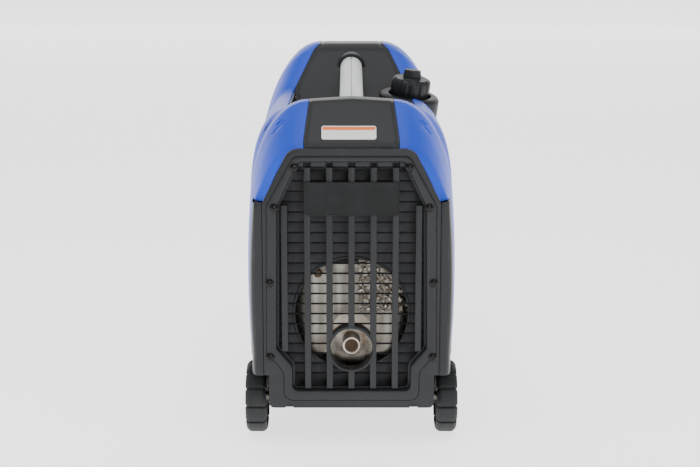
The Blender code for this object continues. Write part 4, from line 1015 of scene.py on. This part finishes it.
def makeInnerPanel(look):                     # the panel behind the bars, with a rolled round window; its black is painted a lighter grey for the light it catches
    low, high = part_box("muffler_shroud")
    corner, radius, z = look["corner"], look["radius"], look["centreZ"]
    front, back, lip, wide = look["front"], look["back"], look["lip"], look["lipWide"]
    outline = roundedOutline(((look["topHalf"], high.z, corner), (high.x, high.z - look["slope"], corner),
                              (high.x, low.z, look["footCorner"])), 5)
    panel = drawn("innerPanel", [standing(outline, back), standing(outline, front)])
    cut(panel, [drill((0, -0.28, z), (0, 1, 0), radius, 0, 0.06, 128)])
    profile = [(radius + wide, front), (radius + wide * 0.75, front - lip * 0.8), (radius + 0.0015, front - lip),
               (radius, front - lip * 0.7), (radius, back), (radius + wide, back)]
    rim = turned("windowRim", (0, 0, z), (0, 1, 0), profile, 128, True)
    panel = joined("innerPanel", [panel, rim])
    softened(panel, look["edge"], 2, 60)
    # the lighter grey on this panel is painted light
    settled(panel, "panel", "chassis", ["muffler_shroud"])


heatShield = {"low": (0.010, -0.2352, 0.176), "high": (0.080, -0.225, 0.250), "cells": (70, 74), "lift": 0.0006,
              "cellWide": 0.0150, "cellHigh": 0.0125, "pinchWide": 0.0075, "pinchLean": 260, "deep": 0.0009,
              "roll": 0.0080, "rollFrom": 0.050, "rollRun": 0.030, "thick": 0.0004}


def makeShield(look):                         # embossed foil over the right of the silencer
    low, high = Vector(look["low"]), Vector(look["high"])
    clearSelection()
    bpy.ops.mesh.primitive_grid_add(x_subdivisions=look["cells"][0], y_subdivisions=look["cells"][1], size=1.0)
    sheet = named("heatShield")
    for point in sheet.data.vertices:
        u, w = point.co.x + 0.5, point.co.y + 0.5
        x, z = low.x + (high.x - low.x) * u, low.z + (high.z - low.z) * w
        cell = math.sin(x * math.tau / look["cellWide"]) * math.sin(z * math.tau / look["cellHigh"])
        pinch = math.sin(x * math.tau / look["pinchWide"] + z * look["pinchLean"]) * 0.3
        roll = look["roll"] * max(0.0, (x - look["rollFrom"]) / look["rollRun"]) ** 2
        point.co = (x, low.y - look["lift"] + roll + look["deep"] * (cell + pinch), z)
    applied(sheet, "SOLIDIFY", thickness=look["thick"], offset=0.0)
    tidied(sheet)
    settled(sheet, "foil", "chassis", (), 60)


crumple = {"corner": (-0.074, -0.2425, 0.092), "size": (0.052, 0.034), "cells": (26, 18), "fold": 0.0026, "lean": 0.004,
           "narrow": 0.55, "thick": 0.0003, "seed": 7}


def makeCrumple(look):                        # a crumpled dark foil strip low on the left of the window
    clearSelection()
    bpy.ops.mesh.primitive_grid_add(x_subdivisions=look["cells"][0], y_subdivisions=look["cells"][1], size=1.0)
    strip = named("crumpledFoil")
    dice = random.Random(look["seed"])
    (x0, y0, z0), (wide, high) = look["corner"], look["size"]
    for point in strip.data.vertices:
        u, w = point.co.x + 0.5, point.co.y + 0.5
        jag = look["fold"] * dice.uniform(-1, 1)
        point.co = (x0 + wide * u, y0 + jag + look["lean"] * w, z0 + high * w * (1 - look["narrow"] * u) + jag * 0.8)
    applied(strip, "SOLIDIFY", thickness=look["thick"], offset=0.0)
    tidied(strip)
    settled(strip, "blackFoil", "chassis", (), 20)


shieldBolt = {"at": (-0.046, -0.2375, 0.231), "radius": 0.0052, "high": 0.0035, "washer": 1.35, "edge": 0.0003}


def makeBolt(look):
    radius, washer = look["radius"], look["radius"] * look["washer"]
    profile = [(radius * 0.82, -look["high"]), (radius, -0.0028), (radius, 0.0), (washer, 0.0), (washer, 0.0014)]
    head = turned("shieldBolt", look["at"], (0, 1, 0), profile, 6)
    softened(head, look["edge"], 2, 30)
    settled(head, "scorched", "chassis")


outletPipe = {"wall": 0.0025}


def makeOutlet(look):
    low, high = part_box("outlet_pipe")
    outer, end = (high.x - low.x) / 2, low.y
    inner = outer - look["wall"]
    profile = [(outer, high.y), (outer - 0.0003, end + 0.004), (outer - 0.0003, end + 0.0016), (outer, end + 0.0008),
               (outer - 0.0006, end + 0.0001), (outer - 0.0013, end), (inner + 0.0005, end + 0.0002),
               (inner, end + 0.0010), (inner, high.y)]
    pipe = turned("outletPipe", (0, 0, grille["ringZ"]), (0, 1, 0), profile, 64, True)
    settled(pipe, "rim", "chassis", ["outlet_pipe"], 50)


sparkScreen = {"wires": 9, "wire": 0.00042, "sway": 0.00035, "ring": 0.001, "meshAt": 0.0012, "steps": 24}


def makeSparkScreen(look):                    # woven wires in a thin ring
    low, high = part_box("spark_arrestor")
    radius, centre, steps, count = (high.x - low.x) / 2, (0, 0, grille["ringZ"]), look["steps"], look["wires"]
    inner, z0, y0 = radius - look["ring"], grille["ringZ"], low.y + look["meshAt"]
    profile = [(radius, low.y), (radius, high.y), (inner, high.y), (inner, low.y)]
    parts = [turned("screenRing", centre, (0, 1, 0), profile, 48, True)]
    for i in range(count):
        across = (2 * (i + 0.5) / count - 1) * (radius - 0.0008)
        reach = math.sqrt((radius - 0.0005) ** 2 - across ** 2)
        for upright in (False, True):
            path = []
            for k in range(steps + 1):
                t = (2 * k / steps - 1) * reach
                sway = look["sway"] * math.sin(t * math.pi * count / radius / 2 + math.pi * (i + upright))
                path.append(Vector((across, y0 + sway, z0 + t) if upright else (t, y0 - sway, z0 + across)))
            parts.append(rod("wire", path, [look["wire"]] * len(path), 5))
    parts.append(drill(centre, (0, 1, 0), radius - 0.0006, y0 + 0.0012, y0 + 0.0020, 48))
    settled(joined("sparkScreen", parts), "scorched", "chassis", ["spark_arrestor"], 60)


# Wheels

wheels = {"bore": 0.0063, "hub": 0.0180, "web": 0.0085, "groove": 0.0026, "blocks": 12, "blockShare": 0.90,
          "blockSteps": 8, "blockRoot": 0.0085, "shoulder": 0.0045, "flank": 0.0048, "edge": 0.0019, "spokes": 6,
          "spokeIn": 0.0050, "spokeHalf": 0.0022, "spokeFrom": 0.0150, "spokeTo": 0.0120, "spokeEdge": 0.0010}


def treadLoops(look, centre, radius, half, middle):
    root, shoulder = radius - look["blockRoot"], radius - look["shoulder"]
    section = [(root, half), (shoulder, half), (radius, half - look["flank"]), (radius, look["flank"] - half),
               (shoulder, -half), (root, -half)]
    span = math.tau / look["blocks"] * look["blockShare"] / look["blockSteps"]
    turns = [middle + span * (k - look["blockSteps"] / 2) for k in range(look["blockSteps"] + 1)]
    return [[centre + Vector((d, r * math.cos(turn), r * math.sin(turn))) for r, d in section] for turn in turns]


def makeWheels(look):                         # a dished disc, spokes and tread blocks on each side
    for side, name, node, body in ((-1, "wheelLeft", "wheel_left", "left_wheel"),
                                   (1, "wheelRight", "wheel_right", "right_wheel")):
        low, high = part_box(node)
        centre, radius, half = (low + high) / 2, (high.z - low.z) / 2, (high.x - low.x) / 2
        hub, web = look["hub"], half - look["web"]
        profile = [(look["bore"], half - 0.004), (hub - 0.0015, half - 0.004), (hub, half - 0.0065),
                   (radius - 0.0145, web), (radius - 0.0120, half - 0.0040), (radius - 0.0060, half - 0.0012),
                   (radius - look["groove"], half - 0.004)]
        profile += [(r, -d) for r, d in reversed(profile)]
        parts = [turned("wheelDisc", centre, (side, 0, 0), profile, 96, True)]
        for step in range(look["blocks"]):
            middle = math.tau * (step + 0.5) / look["blocks"]
            tread = drawn("treadBlock", treadLoops(look, centre, radius, half, middle))
            parts.append(softened(tread, look["edge"], 3, 40))
        wide, deep = half - look["spokeIn"], look["spokeHalf"]
        for step in range(look["spokes"]):
            spoke = block("spoke", centre + Vector((-wide, -deep, look["spokeFrom"])),
                          centre + Vector((wide, deep, radius - look["spokeTo"])), look["spokeEdge"], 2)
            opened(spoke)
            turn = math.tau * (step + 0.5) / look["spokes"]
            bpy.ops.transform.rotate(value=turn, orient_axis="X", center_override=centre)
            bpy.ops.object.mode_set(mode="OBJECT")
            parts.append(spoke)
        settled(joined(name, parts), "rubber", body, [node], 32)


# Fuel filler: bezel, ribbed cap and its wing knob

filler = {"base": (0.088, 0.0, 0.452), "out": 7.0, "rear": 8.0, "bezel": 0.0455, "cap": 0.0295, "height": 0.026,
          "neck": 0.019, "grips": 12, "gripDeep": 0.0022, "gripSteps": 12, "edge": 0.0004,
          "knob": (0.0132, 0.0072), "knobHigh": 0.0115, "knobCuts": 9, "knobEdge": 0.0012}
fillerTurn = (Matrix.Rotation(math.radians(filler["out"]), 3, "Y")
              @ Matrix.Rotation(math.radians(filler["rear"]), 3, "X"))
fillerAxis = fillerTurn @ Vector((0, 0, 1))


def fillerAt(x, y, z):
    return Vector(filler["base"]) + fillerTurn @ Vector((x, y, z))


def makeBezel(look):
    big, lip, neck, foot = look["bezel"], look["cap"] + 0.003, look["neck"] + 0.003, -0.034
    profile = [(big, foot), (big, -0.0045), (big - 0.0008, -0.0028), (big - 0.0028, -0.0006), (big - 0.0058, 0.0008),
               (lip + 0.0012, 0.001), (lip + 0.0002, 0.0006), (lip - 0.0004, -0.0006), (lip - 0.001, -0.006),
               (neck, -0.006), (neck, -0.009), (big - 0.003, -0.009), (big - 0.003, foot)]
    ring = turned("fillerBezel", fillerAt(0, 0, 0), fillerAxis, profile, 96, True)
    settled(ring, "black", "chassis", ["filler_bezel"], 35)


def makeCap(look):                            # hollow below, with flutes round the rim
    cap, top, neck, count = look["cap"], look["height"], look["neck"] + 0.001, look["gripSteps"]
    profile = [(neck, -0.0042), (cap - 0.0035, -0.0042), (cap - 0.0012, 0.0030), (cap - 0.0012, 0.0046),
               (cap - 0.0002, 0.0055), (cap, 0.0075), (cap, top - 0.0065), (cap - 0.0006, top - 0.0040),
               (cap - 0.0022, top - 0.0018), (cap - 0.0050, top - 0.0004), (cap - 0.0075, top - 0.0010),
               (0.0150, top - 0.0010), (0.0138, top), (0.0100, top), (0.0006, top), (0.0006, 0.0012), (neck, 0.0012)]

    def flute(i):
        return look["gripDeep"] * max(0.0, math.sin(math.tau * i / count)) ** 0.5

    piece = turned("fuelCap", fillerAt(0, 0, 0), fillerAxis, profile, look["grips"] * count, True, flute, cap - 0.0024)
    softened(piece, look["edge"], 2, 45)
    settled(piece, "black", "cap", ["fuel_cap"], 30)


def makeVentKnob(look):                       # a waisted wing with a flat top
    (reach, wide), high, bottom = look["knob"], look["knobHigh"], look["height"] + 0.0003
    knob = block("ventKnob", (-reach, -wide, bottom), (reach, wide, bottom + high))
    opened(knob)
    bpy.ops.mesh.subdivide(number_cuts=look["knobCuts"])
    bpy.ops.object.mode_set(mode="OBJECT")
    for point in knob.data.vertices:
        narrow = 1.0 - 0.42 * (abs(point.co.x) / reach) ** 1.6
        up = (point.co.z - bottom) / high
        point.co.y *= narrow * (1.0 - 0.10 * up)
        point.co.x *= 1.0 - 0.08 * up
    softened(knob, look["knobEdge"], 3, 50)
    for point in knob.data.vertices:
        point.co = fillerAt(*point.co)
    settled(knob, "black", "vent", ["vent_knob"], 40)


# Corners beside the frame, and the label

rearCorners = {"faceX": 0.1195, "low": 0.0975, "high": 0.3373, "wall": 0.003, "rows": 26, "edge": 0.0006}


def makeRearCorners(look):
    frontEnd, faceX, wall = bodyShape["cornerEnd"] - bodyShape["gap"], look["faceX"], look["wall"]
    for side, name, node in ((-1, "rearCornerLeft", "rear_corner_left"), (1, "rearCornerRight", "rear_corner_right")):
        loops = []
        for i in range(look["rows"] + 1):
            z = look["low"] + (look["high"] - look["low"]) * i / look["rows"]
            endX = sideOutline(frontEnd, max(1.0, min(2.0, levelAt(z)))).x
            outside = [(faceX, -0.280), (faceX + 0.0100, -0.2797), (endX - 0.0085, -0.279), (endX - 0.0060, -0.2775),
                       (endX - 0.0045, -0.2755), (endX - 0.0030, -0.271), (endX - 0.0018, -0.265),
                       (endX - 0.0006, -0.254), (endX, frontEnd)]
            inside = [(x - wall * (0.9 if n > 2 else 0.0), y + wall * (1.0 if n < 5 else 0.0))
                      for n, (x, y) in enumerate(outside)]
            loops.append([Vector((side * x, y, z)) for x, y in outside + inside[::-1]])
        corner = softened(drawn(name, loops), look["edge"], 2, 50)
        settled(corner, "black", "chassis", [node], 40)


label = {"left": -0.040, "right": 0.033, "lowZ": 0.4187, "highZ": 0.4344, "thick": 0.00025, "corner": 0.0022,
         "cells": (40, 12)}


def makeLabel(look):                          # a blank label lying on the sloping face of the rear pillar
    wide, high = (look["right"] - look["left"]) / 2, (look["highZ"] - look["lowZ"]) / 2
    middleX, middleZ = (look["right"] + look["left"]) / 2, (look["highZ"] + look["lowZ"]) / 2
    corner, thick = look["corner"], look["thick"]
    under = bpy.data.objects["rearPillarCover"]
    bpy.context.view_layer.update()
    clearSelection()
    bpy.ops.mesh.primitive_grid_add(x_subdivisions=look["cells"][0], y_subdivisions=look["cells"][1], size=1.0)
    sheet = named("pillarLabel")
    for point in sheet.data.vertices:
        u, w = point.co.x * 2, point.co.y * 2
        past = max(0.0, (abs(w) * high - (high - corner)) / corner)
        reach = wide - corner * (1 - math.sqrt(max(0.0, 1 - past ** 2)))
        x, z = middleX + u * reach, middleZ + w * high
        hit, place, normal, _ = under.ray_cast(Vector((x, -0.5, z)), Vector((0, 1, 0)))
        point.co = place + normal * thick if hit else Vector((x, -0.25, z))
    applied(sheet, "SOLIDIFY", thickness=thick * 0.8, offset=0.0)
    tidied(sheet)
    settled(sheet, "label", "chassis")


for make, look in (
        (makeSideShells, sideShells), (makeShoulderPatch, shoulderPatch), (makeServiceCover, serviceCover),
        (makePillarCovers, pillarCovers), (makeBosses, handleBoss), (makeRecess, recess), (makeHandle, handle),
        (makeRearFrame, rearFrame), (makeRearScrews, rearScrews), (makeGrille, grille),
        (makeGrillePlate, grillePlate), (makeSilencer, silencer), (makeInnerPanel, innerPanel),
        (makeShield, heatShield), (makeCrumple, crumple), (makeBolt, shieldBolt), (makeOutlet, outletPipe),
        (makeSparkScreen, sparkScreen), (makeWheels, wheels), (makeBezel, filler), (makeCap, filler),
        (makeVentKnob, filler), (makeRearCorners, rearCorners), (makeLabel, label)):
    make(look)
    print("made:", make.__name__[4:])


# Floor, lights and camera

studio = {
    "floorSize": 22.0, "floorBend": 1.5, "floorTone": 0.90, "floorGlow": 1.7, "roomGlow": 0.26,
    "cameraAt": (-0.002, -2.035, 0.662), "cameraPitch": 11.8, "lens": 69.2, "sensor": 36.0,
    # lamp, place, aimed at, size, power
    "lamps": (("topPanel", (0.0, -0.3, 2.3), (0, 0, 0.3), (1.9, 1.6), 26.0),
              ("leftPanel", (-2.1, -1.2, 1.3), (0, 0, 0.28), (1.2, 1.6), 20.0),
              ("rightPanel", (2.1, -1.2, 1.3), (0, 0, 0.28), (1.2, 1.6), 13.0),
              ("rearPanel", (0.5, -2.7, 1.1), (0, -0.25, 0.22), (0.9, 0.7), 20.0)),
}


def makeStage(look):
    clearSelection()
    size, light = look["floorSize"], look["floorTone"]
    bpy.ops.mesh.primitive_plane_add(size=size, location=(0, 0, 0))
    floor = named("floor")
    pick(floor, lambda a, b: min(a.y, b.y) > size * 0.49, "EDGE")
    bpy.ops.mesh.extrude_region_move(TRANSFORM_OT_translate={"value": (0, 0, size / 2)})
    bpy.ops.mesh.select_all(action="SELECT")
    bpy.ops.object.mode_set(mode="OBJECT")
    applied(floor, "BEVEL", width=look["floorBend"], segments=16)
    bpy.ops.object.shade_smooth_by_angle(angle=math.radians(40))
    made, shader, here = newMaterial("paleFloor", {"IOR": 1.4, "Emission Color": (1.0, 1.0, 1.0, 1.0),
                                                   "Emission Strength": look["floorGlow"]})
    cloud = here.noise(1.5, 2.0)
    plug(shader, {"Base Color": cloud.blend((light, light, light), (light * 0.99, light * 0.99, light)),
                  "Roughness": 0.7 + cloud * 0.1})
    floor.data.materials.append(made)


def softLight(name, place, target, size, power):
    clearSelection()
    bpy.ops.object.light_add(type="AREA", location=place)
    lamp = bpy.context.active_object
    lamp.name = name
    lamp.data.shape = "RECTANGLE"
    lamp.data.size, lamp.data.size_y = size
    lamp.data.energy = power
    lamp.rotation_euler = (Vector(target) - Vector(place)).to_track_quat("-Z", "Y").to_euler()


def makeLights(look):
    world = bpy.data.worlds.new("paleRoom")
    world.use_nodes = True
    glow = world.node_tree.nodes["Background"].inputs
    glow["Color"].default_value = (1.0, 1.0, 1.0, 1.0)
    glow["Strength"].default_value = look["roomGlow"]
    bpy.context.scene.world = world
    for lamp in look["lamps"]:
        softLight(*lamp)


def makeCamera(look):
    clearSelection()
    bpy.ops.object.camera_add(location=look["cameraAt"], rotation=(math.radians(90 - look["cameraPitch"]), 0, 0))
    camera = bpy.context.active_object
    camera.name = "camera"
    camera.data.lens, camera.data.sensor_width = look["lens"], look["sensor"]
    bpy.context.scene.camera = camera


makeStage(studio)
makeLights(studio)
makeCamera(studio)
print("stage set")
